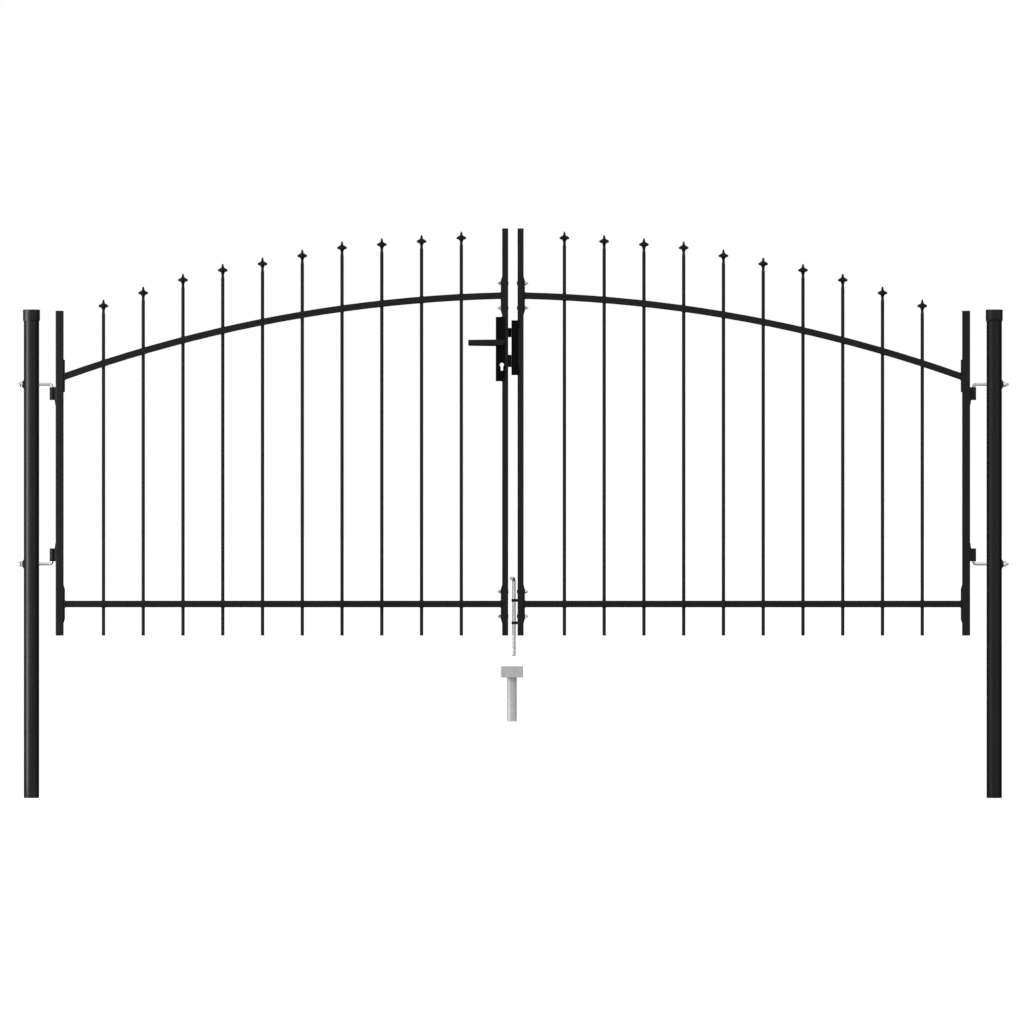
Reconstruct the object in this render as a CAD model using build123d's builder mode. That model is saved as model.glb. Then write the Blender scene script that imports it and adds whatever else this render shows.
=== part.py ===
from build123d import *
from math import sqrt
import os

# A double-leaf driveway gate in steel tube with an arched top and spear points, all in millimetres.
# X runs from the left post to the right post, Y points away from the street and Z points up.
# The origin is the centre of the left post's foot, and the closed leaves stand in the plane Y = 0.

# Posts, each a round tube with a cap on its head and a plug in its foot
overall_width = 4000.0
post_d = 63.0
post_wall = 2.0
post_top = 1997.0
cap_d = 70.0
cap_height = 49.0
cap_top = 3.0
cap_bevel = 2.0
cap_rim_h = 8.0
cap_rim_in = 2.5
plug_flange = 4.0
plug_depth = 22.0
post_pitch = overall_width - post_d
centre_x = post_pitch / 2
slip = 0.2

# Leaves, measured from the left post, with the right leaf as their mirror image
leaf_foot = 664.0
hinge_x = 84.0
hinge_stile = 32.0
hinge_stile_x = 115.0
hinge_stile_top = 1992.0
meeting_stile = 25.0
meeting_gap = 38.0
meeting_stile_x = centre_x - (meeting_gap + meeting_stile) / 2
meeting_stile_top = 2329.0
stile_wall = 2.0
stile_round = 4.0

# Rails, a straight one below and one rolled to a large circle above
rail = 27.0
rail_wall = 2.0
rail_round = 4.0
arch_round = 2.5
bottom_rail_z = 793.0
arch_radius = 5737.0
arch_crown = 2055.5
arch_centre_x = 2059.0

# Upright bars and the height of each spear tip, as the bars are cut to length
bar_d = 14.0
bar_wall = 1.5
bar_pitch = 162.6
bar_hole_play = 0.05
tip_heights = (2038, 2091, 2144, 2184, 2210, 2243, 2276, 2289, 2302, 2316)
end_bay = (meeting_stile_x - hinge_stile_x - bar_pitch * (len(tip_heights) - 1)) / 2
bar_xs = [hinge_stile_x + end_bay + bar_pitch * i for i in range(len(tip_heights))]

# Spear point, a four-armed casting that sits on the head of each bar
spear_height = 61.0
spear_collar = 11.0
spear_neck_d = 11.5
spear_waist = 13.0
spear_shoulder_z = 50.0
spear_shoulder = 10.4
spear_point = 4.0
spear_arm_z = 34.5
spear_arm_reach = 20.5
spear_arm_end = 16.0
spear_arm_half = 5.0
spear_arm_foot = 17.5
spear_notch_x = 8.3
spear_notch_z = 28.0
spear_arm_head = 45.0
spear_arm_depth = 7.0
spear_draft = 10.0

# Plates that the rails end in, against the stiles
end_plate_t = 5.5
end_plate_h = 158.0
end_plate_w = 25.0
end_plate_taper = 18.0
upper_plate_h = 135.0
upper_plate_taper = 3.0
upper_plate_rise = 4.0

# Hinges: threaded hooks through the posts, and knuckles on the stiles
hook_d = 12.0
hook_bend = 9.0
hook_tip_x = -59.0
hook_hole_d = 13.0
hook_bevel = 1.0
upper_hook_z = 1691.0
lower_hook_z = 956.5
pin_reach = 68.0
knuckle_d = 20.0
knuckle_height = 53.0
knuckle_gap = 5.0
pin_play = 0.08
hinge_pad_t = 4.0
hinge_pad_h = 76.0
hinge_pad_w = 26.0
hinge_pad_taper = 21.0
hinge_pad_lip = 0.6
hinge_web_w = 14.0
saddle_w = 30.0
saddle_h = 37.0
saddle_t = 5.0
saddle_flat_h = 16.0
saddle_lip = 0.6
nut_flats = 19.0
nut_height = 10.0
washer_d = 27.0
washer_t = 2.5

# Lock, a case let into the left meeting stile
lock_left = 1898.5
lock_right = 1936.5
lock_foot = 1704.0
lock_top = 1967.0
lock_depth = 34.0
lock_wall = 2.5
lock_round = 2.0
cover_foot = 1725.0
cover_top = 1956.0
cover_t = 3.0
cover_margin = 1.5
cover_round = 3.0
spindle_x = 1923.5
lever_z = 1861.0
spindle_side = 8.0
spindle_hole_d = 18.0
cylinder_z = 1771.0
cylinder_d = 17.0
cylinder_slot_w = 10.0
cylinder_drop = 24.5
bolt_t = 11.0
bolt_play = 0.5
bolt_gap = 1.0
bolt_back = 1915.5
latch_z = (1884.0, 1922.0)
latch_bevel = 8.0
dead_z = (1762.0, 1812.0)
dead_tail = 22.0
dead_front_x = 1938.5

# Lever handles on both faces of the lock
lever_tip_x = 1786.0
lever_h = 26.0
lever_end_h = 23.0
lever_t = 12.0
lever_out = 64.0
lever_neck_d = 16.0
lever_round = 4.5
lever_play = 0.5

# Keeper on the right meeting stile, a folded box with a pocket for each bolt
keeper_x = 1962.5
keeper_foot = 1729.0
keeper_top = 1953.0
keeper_wall = 2.5
keeper_ear = 8.0
keeper_ear_h = 33.0
pocket_play = 3.0

# Drop rod on the right meeting stile, and the socket set in the ground under it
rod_d = 14.0
rod_x = 1973.0
rod_top = 898.0
rod_foot = 580.0
rod_bend = 14.0
rod_bevel = 1.5
rod_leg_x = 1961.5
rod_leg_y = -40.0
guide_zs = (716.0, 808.0)
guide_h = 12.0
guide_d = 20.0
guide_play = 0.4
guide_web_w = 10.0
socket_x = 1964.5
socket_top = 538.0
socket_head_w = 91.0
socket_head_h = 45.0
socket_round = 5.0
socket_foot = 313.0
socket_d = 40.0
socket_wall = 2.0
socket_sheet = 3.0

leaf_mirror = Plane.YZ.offset(centre_x)


def arch_z(x, offset=0.0):
    """Height of the arch at x, on its middle line or at an offset outwards from it."""
    return arch_crown - arch_radius + sqrt((arch_radius + offset) ** 2 - (x - arch_centre_x) ** 2)


def save(part, name):
    """Label a finished part with its name and write it."""
    part.label = name
    export_step(part, f"parts/{name}.step")


def save_pair(left, name):
    """Write a part of the left half, and its mirror image for the right half."""
    save(left, f"left_{name}")
    with BuildPart() as right:
        mirror(left, about=leaf_mirror)
    save(right.part, f"right_{name}")


def arch_band(x_start, x_end, half):
    """The face of the arch between two places, so far each side of its middle line."""
    x_mid = (x_start + x_end) / 2
    with BuildSketch() as band:
        with BuildLine():
            upper = ThreePointArc(*[(x, arch_z(x, half)) for x in (x_start, x_mid, x_end)])
            lower = ThreePointArc(*[(x, arch_z(x, -half)) for x in (x_start, x_mid, x_end)])
            Line(upper @ 0, lower @ 0)
            Line(upper @ 1, lower @ 1)
        make_face()
    return band.sketch


def square_tube(side, wall, corner):
    """Draw the section of a square tube with rounded corners."""
    RectangleRounded(side, side, corner)
    Rectangle(side - 2 * wall, side - 2 * wall, mode=Mode.SUBTRACT)


def make_post():
    with BuildPart() as post:
        with BuildSketch(Plane.XY.offset(plug_flange)):
            Circle(post_d / 2)
            Circle(post_d / 2 - post_wall, mode=Mode.SUBTRACT)
        extrude(amount=post_top - cap_top - plug_flange)
        with Locations((0, 0, upper_hook_z), (0, 0, lower_hook_z)):
            Cylinder(hook_hole_d / 2, 2 * post_d, rotation=(0, 90, 0), mode=Mode.SUBTRACT)
    return post.part


def make_post_cap():
    cap_rim = post_top - cap_height
    with BuildPart() as cap:
        with BuildSketch(Plane.XY.offset(cap_rim)):
            Circle(cap_d / 2)
        extrude(amount=cap_height)
        chamfer(cap.edges().group_by(Axis.Z)[-1], length=cap_bevel)
        chamfer(cap.edges().group_by(Axis.Z)[0], length=cap_rim_h, length2=cap_rim_in)
        with BuildSketch(Plane.XY.offset(cap_rim)):
            Circle(post_d / 2 + slip)
        extrude(amount=cap_height - cap_top, mode=Mode.SUBTRACT)
    return cap.part


def make_post_plug():
    with BuildPart() as plug:
        with BuildSketch():
            Circle(post_d / 2)
        extrude(amount=plug_flange)
        with BuildSketch(Plane.XY.offset(plug_flange)):
            Circle(post_d / 2 - post_wall - slip)
        extrude(amount=plug_depth - plug_flange)
    return plug.part


def make_hinge_hooks():
    """The upper hook's pin points down and the lower one's up, so that the leaf can't be lifted off."""
    with BuildPart() as hooks:
        for rod_z, pin_end in (
            (upper_hook_z, upper_hook_z - pin_reach),
            (lower_hook_z, lower_hook_z + pin_reach),
        ):
            corners = ((hook_tip_x, 0, rod_z), (hinge_x, 0, rod_z), (hinge_x, 0, pin_end))
            with BuildLine() as route:
                FilletPolyline(*corners, radius=hook_bend)
            with BuildSketch(Plane(origin=(hook_tip_x, 0, rod_z), z_dir=(1, 0, 0))):
                Circle(hook_d / 2)
            sweep(path=route.line)
        chamfer(hooks.faces().filter_by(GeomType.PLANE).edges(), length=hook_bevel)
    return hooks.part


def make_saddles():
    """Blocks hollowed to sit on the round of the post, under the nuts, and sloped off above and below."""
    post_face = -post_d / 2
    with BuildPart() as saddles:
        for rod_z in (upper_hook_z, lower_hook_z):
            with BuildSketch(Plane.XZ):
                with BuildLine():
                    Polyline(
                        (0, rod_z - saddle_h / 2),
                        (post_face - saddle_lip, rod_z - saddle_h / 2),
                        (post_face - saddle_t, rod_z - saddle_flat_h / 2),
                        (post_face - saddle_t, rod_z + saddle_flat_h / 2),
                        (post_face - saddle_lip, rod_z + saddle_h / 2),
                        (0, rod_z + saddle_h / 2),
                        close=True,
                    )
                make_face()
            extrude(amount=saddle_w / 2, both=True)
        Cylinder(post_d / 2, 2 * post_top, mode=Mode.SUBTRACT)
        with Locations((0, 0, upper_hook_z), (0, 0, lower_hook_z)):
            Cylinder(hook_hole_d / 2, 2 * post_d, rotation=(0, 90, 0), mode=Mode.SUBTRACT)
    return saddles.part


def make_hook_nuts():
    """A washer and a hexagon nut on the thread of each hook, outside the post."""
    saddle_face = -post_d / 2 - saddle_t
    with BuildPart() as nuts:
        for rod_z in (upper_hook_z, lower_hook_z):
            face = Plane(origin=(saddle_face, 0, rod_z), x_dir=(0, 0, 1), z_dir=(-1, 0, 0))
            with BuildSketch(face):
                Circle(washer_d / 2)
                Circle(hook_d / 2 + slip, mode=Mode.SUBTRACT)
            extrude(amount=washer_t)
            with BuildSketch(face.offset(washer_t)):
                RegularPolygon(nut_flats / 2, 6, major_radius=False)
                Circle(hook_d / 2 + slip, mode=Mode.SUBTRACT)
            extrude(amount=nut_height)
    return nuts.part


def make_hinge_stile():
    with BuildPart() as stile:
        with BuildSketch(Plane.XY.offset(leaf_foot + plug_flange)):
            with Locations((hinge_stile_x, 0)):
                square_tube(hinge_stile, stile_wall, stile_round)
        extrude(amount=hinge_stile_top - leaf_foot - 2 * plug_flange)
    return stile.part


def make_meeting_stile(bolt_windows):
    with BuildPart() as stile:
        with BuildSketch(Plane.XY.offset(leaf_foot + plug_flange)):
            with Locations((meeting_stile_x, 0)):
                square_tube(meeting_stile, stile_wall, stile_round)
        extrude(amount=meeting_stile_top - leaf_foot - 2 * plug_flange)
        if bolt_windows:
            with Locations(((lock_left + lock_right) / 2, 0, (lock_foot + lock_top) / 2)):
                Box(lock_right - lock_left, 2 * meeting_stile, lock_top - lock_foot, mode=Mode.SUBTRACT)
            for low, high in (latch_z, dead_z):
                with Locations((lock_right + meeting_stile / 2, 0, (low + high) / 2)):
                    Box(meeting_stile, bolt_t + 2 * bolt_play, high - low + 2 * bolt_play, mode=Mode.SUBTRACT)
    return stile.part


def make_stile_plugs():
    """Flush caps with a spigot, in the open ends of both stiles."""
    with BuildPart() as plugs:
        for x, side, top in (
            (hinge_stile_x, hinge_stile, hinge_stile_top),
            (meeting_stile_x, meeting_stile, meeting_stile_top),
        ):
            bore = side - 2 * stile_wall - 2 * slip
            for flange_z, spigot_z in (
                (leaf_foot, leaf_foot + plug_flange),
                (top - plug_flange, top - plug_depth),
            ):
                with BuildSketch(Plane.XY.offset(flange_z)):
                    with Locations((x, 0)):
                        RectangleRounded(side, side, stile_round)
                extrude(amount=plug_flange)
                with BuildSketch(Plane.XY.offset(spigot_z)):
                    with Locations((x, 0)):
                        Rectangle(bore, bore)
                extrude(amount=plug_depth - plug_flange)
    return plugs.part


rail_start = hinge_stile_x + hinge_stile / 2 + end_plate_t
rail_end = meeting_stile_x - meeting_stile / 2 - end_plate_t
bar_hole = bar_d / 2 + bar_hole_play


def make_arch_rail():
    """A square tube rolled to a circle, with a hole through both walls for each bar."""
    with BuildPart() as arch:
        with BuildSketch(Plane.XZ):
            add(arch_band(rail_start, rail_end, rail / 2))
        extrude(amount=rail / 2, both=True)
        long_edges = arch.edges().filter_by(GeomType.CIRCLE)
        fillet(long_edges, radius=arch_round)
        with BuildSketch(Plane.XZ):
            add(arch_band(rail_start, rail_end, rail / 2 - rail_wall))
        extrude(amount=rail / 2 - rail_wall, both=True, mode=Mode.SUBTRACT)
        with Locations(*[(x, 0, arch_z(x)) for x in bar_xs]):
            Cylinder(bar_hole, 3 * rail, mode=Mode.SUBTRACT)
    return arch.part


def make_bottom_rail():
    with BuildPart() as bottom:
        with BuildSketch(Plane.YZ.offset(rail_start)):
            with Locations((0, bottom_rail_z)):
                square_tube(rail, rail_wall, rail_round)
        extrude(amount=rail_end - rail_start)
        with Locations(*[(x, 0, bottom_rail_z) for x in bar_xs]):
            Cylinder(bar_hole, 2 * rail, mode=Mode.SUBTRACT)
    return bottom.part


def make_bars():
    """Round tubes from the foot of the leaf to the spear points, closed at the foot."""
    with BuildPart() as bars:
        for x, tip in zip(bar_xs, tip_heights):
            with BuildSketch(Plane.XY.offset(leaf_foot)):
                with Locations((x, 0)):
                    Circle(bar_d / 2)
            extrude(amount=tip - spear_height - leaf_foot)
            with BuildSketch(Plane.XY.offset(leaf_foot + plug_flange)):
                with Locations((x, 0)):
                    Circle(bar_d / 2 - bar_wall)
            extrude(amount=tip - spear_height - leaf_foot - plug_flange, mode=Mode.SUBTRACT)
    return bars.part


def make_spear():
    """A spear point with its foot at the origin: conical collar, round neck, four barbed arms and a spike."""
    with BuildPart() as spear:
        with Locations((0, 0, spear_collar / 2)):
            Cone(bar_d / 2, spear_neck_d / 2, spear_collar)
        with Locations((0, 0, (spear_collar + spear_arm_z) / 2)):
            Cylinder(spear_neck_d / 2, spear_arm_z - spear_collar)
        for low, low_side, high, high_side in (
            (spear_arm_z, spear_waist, spear_shoulder_z, spear_shoulder),
            (spear_shoulder_z, spear_shoulder, spear_height, spear_point),
        ):
            with BuildSketch(Plane.XY.offset(low)):
                Rectangle(low_side, low_side)
            with BuildSketch(Plane.XY.offset(high)):
                Rectangle(high_side, high_side)
            loft()
        for plane in (Plane.XZ, Plane.YZ):
            with BuildSketch(plane):
                with BuildLine():
                    Polyline(
                        (0, spear_arm_foot),
                        (spear_neck_d / 2, spear_arm_foot),
                        (spear_notch_x, spear_notch_z),
                        (spear_arm_end, spear_arm_z - spear_arm_half),
                        (spear_arm_reach, spear_arm_z),
                        (spear_arm_end, spear_arm_z + spear_arm_half),
                        (spear_waist / 2, spear_arm_head),
                        (0, spear_arm_head),
                    )
                    mirror(about=Plane.YZ)
                make_face()
            extrude(amount=spear_arm_depth / 2, both=True, taper=spear_draft)
    return spear.part


def make_spear_tips():
    spear = make_spear()
    with BuildPart() as tips:
        with Locations(*[(x, 0, tip - spear_height) for x, tip in zip(bar_xs, tip_heights)]):
            add(spear)
    return tips.part


def make_end_plates():
    """Plates that the rails are welded to, two on each stile; all but the upper hinge one have long tapers."""
    hinge_face = hinge_stile_x + hinge_stile / 2
    meeting_face = meeting_stile_x - meeting_stile / 2
    with BuildPart() as plates:
        for face, thick, middle, tall, taper in (
            (hinge_face, end_plate_t, arch_z(hinge_face) + upper_plate_rise, upper_plate_h, upper_plate_taper),
            (hinge_face, end_plate_t, bottom_rail_z, end_plate_h, end_plate_taper),
            (meeting_face, -end_plate_t, arch_z(meeting_face), end_plate_h, end_plate_taper),
            (meeting_face, -end_plate_t, bottom_rail_z, end_plate_h, end_plate_taper),
        ):
            with BuildSketch(Plane.XZ):
                with BuildLine():
                    Polyline(
                        (face, middle - tall / 2),
                        (face + thick, middle - tall / 2 + taper),
                        (face + thick, middle + tall / 2 - taper),
                        (face, middle + tall / 2),
                        close=True,
                    )
                make_face()
            extrude(amount=end_plate_w / 2, both=True)
    return plates.part


def make_hinge_knuckles():
    """A bored knuckle on a pad welded to the hinge stile, one for each hook, the pads thinning away from it."""
    stile_face = hinge_stile_x - hinge_stile / 2
    upper_top = upper_hook_z - hook_d / 2 - knuckle_gap
    lower_foot = lower_hook_z + hook_d / 2 + knuckle_gap
    hinge_pad_flat = hinge_pad_h - hinge_pad_taper
    with BuildPart() as knuckles:
        for knuckle_foot, pad_end, slope_start, thin_end in (
            (upper_top - knuckle_height, upper_top, upper_top - hinge_pad_flat, upper_top - hinge_pad_h),
            (lower_foot, lower_foot, lower_foot + hinge_pad_flat, lower_foot + hinge_pad_h),
        ):
            with BuildSketch(Plane.XY.offset(knuckle_foot)):
                with Locations((hinge_x, 0)):
                    Circle(knuckle_d / 2)
                with Locations(((hinge_x + stile_face) / 2, 0)):
                    Rectangle(stile_face - hinge_x, hinge_web_w)
            extrude(amount=knuckle_height)
            with BuildSketch(Plane.XZ):
                with BuildLine():
                    Polyline(
                        (stile_face, pad_end),
                        (stile_face - hinge_pad_t, pad_end),
                        (stile_face - hinge_pad_t, slope_start),
                        (stile_face - hinge_pad_lip, thin_end),
                        (stile_face, thin_end),
                        close=True,
                    )
                make_face()
            extrude(amount=hinge_pad_w / 2, both=True)
        with Locations((hinge_x, 0, 0)):
            Cylinder(hook_d / 2 + pin_play, 2 * post_top, mode=Mode.SUBTRACT)
    return knuckles.part


def cylinder_hole():
    """Draw the keyhole-shaped opening for a lock cylinder: a circle with a slot below it."""
    with Locations((spindle_x, cylinder_z)):
        Circle(cylinder_d / 2)
    slot_low = cylinder_z - cylinder_drop + cylinder_slot_w / 2
    with Locations((spindle_x, (slot_low + cylinder_z) / 2)):
        Rectangle(cylinder_slot_w, cylinder_z - slot_low)
    with Locations((spindle_x, slot_low)):
        Circle(cylinder_slot_w / 2)


def make_lock_case():
    """A sheet box round the lock, open for the cylinder, the spindle and both bolts."""
    middle = Location(((lock_left + lock_right) / 2, 0, (lock_foot + lock_top) / 2))
    wide = lock_right - lock_left
    tall = lock_top - lock_foot
    with BuildPart() as case:
        with Locations(middle):
            Box(wide, lock_depth, tall)
        fillet(case.edges().filter_by(Axis.Z).group_by(Axis.X)[0], radius=lock_round)
        with Locations(middle):
            inside = 2 * lock_wall
            Box(wide - inside, lock_depth - inside, tall - inside, mode=Mode.SUBTRACT)
        with BuildSketch(Plane.XZ):
            cylinder_hole()
            with Locations((spindle_x, lever_z)):
                Circle(spindle_hole_d / 2)
        extrude(amount=lock_depth, both=True, mode=Mode.SUBTRACT)
        for low, high in (latch_z, dead_z):
            with Locations((lock_right, 0, (low + high) / 2)):
                Box(3 * lock_wall, bolt_t + 2 * bolt_play, high - low + 2 * bolt_play, mode=Mode.SUBTRACT)
    return case.part


def make_lock_covers():
    """A flat cover on each face of the case, with the same openings."""
    wide = lock_right - lock_left - 2 * cover_margin
    with BuildPart() as covers:
        for face in (Plane.XZ.offset(lock_depth / 2), Plane.XZ.offset(-lock_depth / 2 - cover_t)):
            with BuildSketch(face):
                with Locations(((lock_left + lock_right) / 2, (cover_foot + cover_top) / 2)):
                    RectangleRounded(wide, cover_top - cover_foot, cover_round)
            extrude(amount=cover_t)
        with BuildSketch(Plane.XZ):
            cylinder_hole()
            with Locations((spindle_x, lever_z)):
                Circle(spindle_hole_d / 2)
        extrude(amount=lock_depth, both=True, mode=Mode.SUBTRACT)
    return covers.part


def make_latch_bolt():
    """The sprung bolt, with its nose bevelled on the side that meets the keeper first."""
    low, high = latch_z
    nose = keeper_x - bolt_gap
    with BuildPart() as latch:
        with Locations(((bolt_back + nose) / 2, 0, (low + high) / 2)):
            Box(nose - bolt_back, bolt_t, high - low)
        front_edge = latch.edges().filter_by(Axis.Z).group_by(Axis.X)[-1].sort_by(Axis.Y)[0]
        chamfer(front_edge, length=latch_bevel)
    return latch.part


def make_dead_bolt():
    """The locking bolt, a deep head with a narrower tail that passes over the cylinder."""
    low, high = dead_z
    nose = keeper_x - bolt_gap
    with BuildPart() as dead:
        with Locations(((dead_front_x + nose) / 2, 0, (low + high) / 2)):
            Box(nose - dead_front_x, bolt_t, high - low)
        with Locations(((bolt_back + dead_front_x) / 2, 0, high - dead_tail / 2)):
            Box(dead_front_x - bolt_back, bolt_t, dead_tail)
    return dead.part


def make_spindle():
    with BuildPart() as spindle:
        with Locations((spindle_x, 0, lever_z)):
            Box(spindle_side, 2 * (lever_out - lever_t), spindle_side)
    return spindle.part


def make_front_lever():
    """A flat lever with rounded edges on a round neck, in front of the lock."""
    cover_face = lock_depth / 2 + cover_t
    with BuildPart() as lever:
        with BuildSketch(Plane.XZ.offset(lever_out - lever_t)):
            with BuildLine():
                Polyline(
                    (spindle_x, lever_z + lever_h / 2),
                    (lever_tip_x, lever_z + lever_end_h / 2),
                    (lever_tip_x, lever_z - lever_end_h / 2),
                    (spindle_x, lever_z - lever_h / 2),
                )
                ThreePointArc(
                    (spindle_x, lever_z - lever_h / 2),
                    (spindle_x + lever_h / 2, lever_z),
                    (spindle_x, lever_z + lever_h / 2),
                )
            make_face()
        extrude(amount=lever_t)
        fillet(lever.edges(), radius=lever_round)
        with BuildSketch(Plane.XZ.offset(cover_face + lever_play)):
            with Locations((spindle_x, lever_z)):
                Circle(lever_neck_d / 2)
        extrude(amount=lever_out - lever_t / 2 - cover_face - lever_play)
        with Locations((spindle_x, 0, lever_z)):
            Box(spindle_side, 2 * (lever_out - lever_t), spindle_side, mode=Mode.SUBTRACT)
    return lever.part


def make_keeper():
    """A folded box on the gap side of the stile, with ears on the stile's faces."""
    stile_face = centre_x + meeting_gap / 2
    tall = keeper_top - keeper_foot
    middle_z = (keeper_top + keeper_foot) / 2
    outside_w = meeting_stile + 2 * keeper_wall
    with BuildPart() as keeper:
        with Locations(((keeper_x + stile_face) / 2, 0, middle_z)):
            Box(stile_face - keeper_x, outside_w, tall)
            with Locations((keeper_wall, 0, 0)):
                Box(stile_face - keeper_x, meeting_stile, tall - 2 * keeper_wall, mode=Mode.SUBTRACT)
        for ear_z in (keeper_foot + keeper_ear_h / 2, keeper_top - keeper_ear_h / 2):
            for side in (-1, 1):
                with Locations((stile_face + keeper_ear / 2, side * (outside_w - keeper_wall) / 2, ear_z)):
                    Box(keeper_ear, keeper_wall, keeper_ear_h)
        for low, high in (latch_z, dead_z):
            with Locations((keeper_x, 0, (low + high) / 2)):
                Box(3 * keeper_wall, bolt_t + 2 * pocket_play, high - low + 2 * pocket_play, mode=Mode.SUBTRACT)
    return keeper.part


def make_drop_rod():
    """A round rod whose head is bent towards the street as a handle."""
    leg_end = Vector(rod_leg_x, rod_leg_y, rod_top)
    bend = Vector(rod_x, 0, rod_top)
    with BuildPart() as rod:
        with BuildLine() as route:
            FilletPolyline(leg_end, bend, (rod_x, 0, rod_foot), radius=rod_bend)
        with BuildSketch(Plane(origin=leg_end, z_dir=bend - leg_end)):
            Circle(rod_d / 2)
        sweep(path=route.line)
        chamfer(rod.faces().filter_by(GeomType.PLANE).edges(), length=rod_bevel)
    return rod.part


def make_rod_guides():
    stile_face = centre_x + meeting_gap / 2
    with BuildPart() as guides:
        for z in guide_zs:
            with BuildSketch(Plane.XY.offset(z - guide_h / 2)):
                with Locations((rod_x, 0)):
                    Circle(guide_d / 2)
                with Locations(((rod_x + stile_face) / 2, 0)):
                    Rectangle(stile_face - rod_x, guide_web_w)
                with Locations((rod_x, 0)):
                    Circle(rod_d / 2 + guide_play, mode=Mode.SUBTRACT)
            extrude(amount=guide_h)
    return guides.part


def make_ground_socket():
    """A folded head, level with the ground and open below, round a tube that is closed at its foot."""
    hollow = socket_head_w - 2 * socket_sheet
    with BuildPart() as socket:
        with Locations((socket_x, 0, socket_top - socket_head_h / 2)):
            Box(socket_head_w, socket_head_w, socket_head_h)
        fillet(socket.edges().filter_by(Axis.Z), radius=socket_round)
        with Locations((socket_x, 0, socket_top - socket_head_h / 2 - socket_sheet)):
            Box(hollow, hollow, socket_head_h, mode=Mode.SUBTRACT)
        with BuildSketch(Plane.XY.offset(socket_foot)):
            with Locations((socket_x, 0)):
                Circle(socket_d / 2)
        extrude(amount=socket_top - socket_foot)
        with BuildSketch(Plane.XY.offset(socket_foot + socket_sheet)):
            with Locations((socket_x, 0)):
                Circle(socket_d / 2 - socket_wall)
        extrude(amount=socket_top - socket_foot, mode=Mode.SUBTRACT)
    return socket.part


save_pair(make_post(), "post")
save_pair(make_post_cap(), "post_cap")
save_pair(make_post_plug(), "post_plug")
save_pair(make_hinge_hooks(), "hinge_hooks")
save_pair(make_saddles(), "hook_saddles")
save_pair(make_hook_nuts(), "hook_nuts")
save_pair(make_hinge_stile(), "hinge_stile")
save(make_meeting_stile(bolt_windows=True), "left_meeting_stile")
with BuildPart() as right_meeting_stile:
    mirror(make_meeting_stile(bolt_windows=False), about=leaf_mirror)
save(right_meeting_stile.part, "right_meeting_stile")
save_pair(make_stile_plugs(), "stile_plugs")
save_pair(make_arch_rail(), "arch_rail")
save_pair(make_bottom_rail(), "bottom_rail")
save_pair(make_bars(), "bars")
save_pair(make_spear_tips(), "spear_tips")
save_pair(make_end_plates(), "end_plates")
save_pair(make_hinge_knuckles(), "hinge_knuckles")
save(make_lock_case(), "lock_case")
save(make_lock_covers(), "lock_covers")
save(make_latch_bolt(), "latch_bolt")
save(make_dead_bolt(), "dead_bolt")
save(make_spindle(), "lever_spindle")
front_lever = make_front_lever()
save(front_lever, "front_lever")
with BuildPart() as back_lever:
    mirror(front_lever, about=Plane.XZ)
save(back_lever.part, "back_lever")
save(make_keeper(), "keeper")
save(make_drop_rod(), "drop_rod")
save(make_rod_guides(), "drop_rod_guides")
save(make_ground_socket(), "ground_socket")
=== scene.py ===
"""Looks of a double-leaf driveway gate in powder-coated steel tube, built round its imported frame.

Sizes are in metres. X runs from the left post to the right post, Y points away from the
street and Z points up. The closed leaves stand in the plane Y = 0.
"""

from __future__ import annotations

import logging
import math
from collections.abc import Callable, Iterable, Sequence
from dataclasses import dataclass
from enum import Enum

import bmesh
import bpy
from mathutils import Matrix, Vector

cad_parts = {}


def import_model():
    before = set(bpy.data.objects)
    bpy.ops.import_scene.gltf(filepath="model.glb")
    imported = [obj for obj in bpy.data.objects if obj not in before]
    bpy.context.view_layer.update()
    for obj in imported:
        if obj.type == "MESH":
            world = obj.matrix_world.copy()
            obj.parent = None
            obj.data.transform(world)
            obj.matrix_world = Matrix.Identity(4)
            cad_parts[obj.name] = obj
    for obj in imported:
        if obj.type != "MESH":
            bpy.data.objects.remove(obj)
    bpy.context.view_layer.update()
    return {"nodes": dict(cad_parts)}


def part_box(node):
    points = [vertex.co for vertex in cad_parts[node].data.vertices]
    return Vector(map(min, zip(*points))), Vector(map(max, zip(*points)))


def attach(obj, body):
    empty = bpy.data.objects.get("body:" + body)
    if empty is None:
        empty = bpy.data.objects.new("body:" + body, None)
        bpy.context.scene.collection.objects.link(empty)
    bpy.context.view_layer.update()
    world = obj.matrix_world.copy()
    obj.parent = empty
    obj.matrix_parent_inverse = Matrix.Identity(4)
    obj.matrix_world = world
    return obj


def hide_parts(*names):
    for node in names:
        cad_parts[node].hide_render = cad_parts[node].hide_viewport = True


LOG = logging.getLogger("driveway_gate")
TURN = 2 * math.pi
X, Y, Z = Vector((1, 0, 0)), Vector((0, 1, 0)), Vector((0, 0, 1))
Socket = bpy.types.NodeSocket
Colour = tuple[float, float, float]
Place = tuple[float, float, float]
Pair = tuple[float, float]

# Distance below which two places count as one.
CLOSE = 1e-5

# Least clear distance between two neighbours of a kind, for parting a node into the things in it.
HINGE_GAP, STILE_GAP, BAR_GAP, PLATE_GAP, GUIDE_GAP = 0.1, 0.1, 0.05, 0.05, 0.02

# Angle past which an edge of a weld counts as hard, so that its ripple stays soft.
WELD_SHARP = 80.0

# Sockets of a Mix node that blends colours: factor and two colours in, one colour out.
MIX_FACTOR, MIX_FIRST, MIX_SECOND, MIX_RESULT = 0, 6, 7, 2


class Slot(Enum):
    """The record's material slots."""

    FRAME = "frame_coat"
    LOCK = "lock_coat"
    LEVER = "lever_coat"
    CAP = "cap_plastic"
    ZINC = "zinc"
    GALVANISED = "galvanised"
    BOLT = "bolt_steel"


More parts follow.
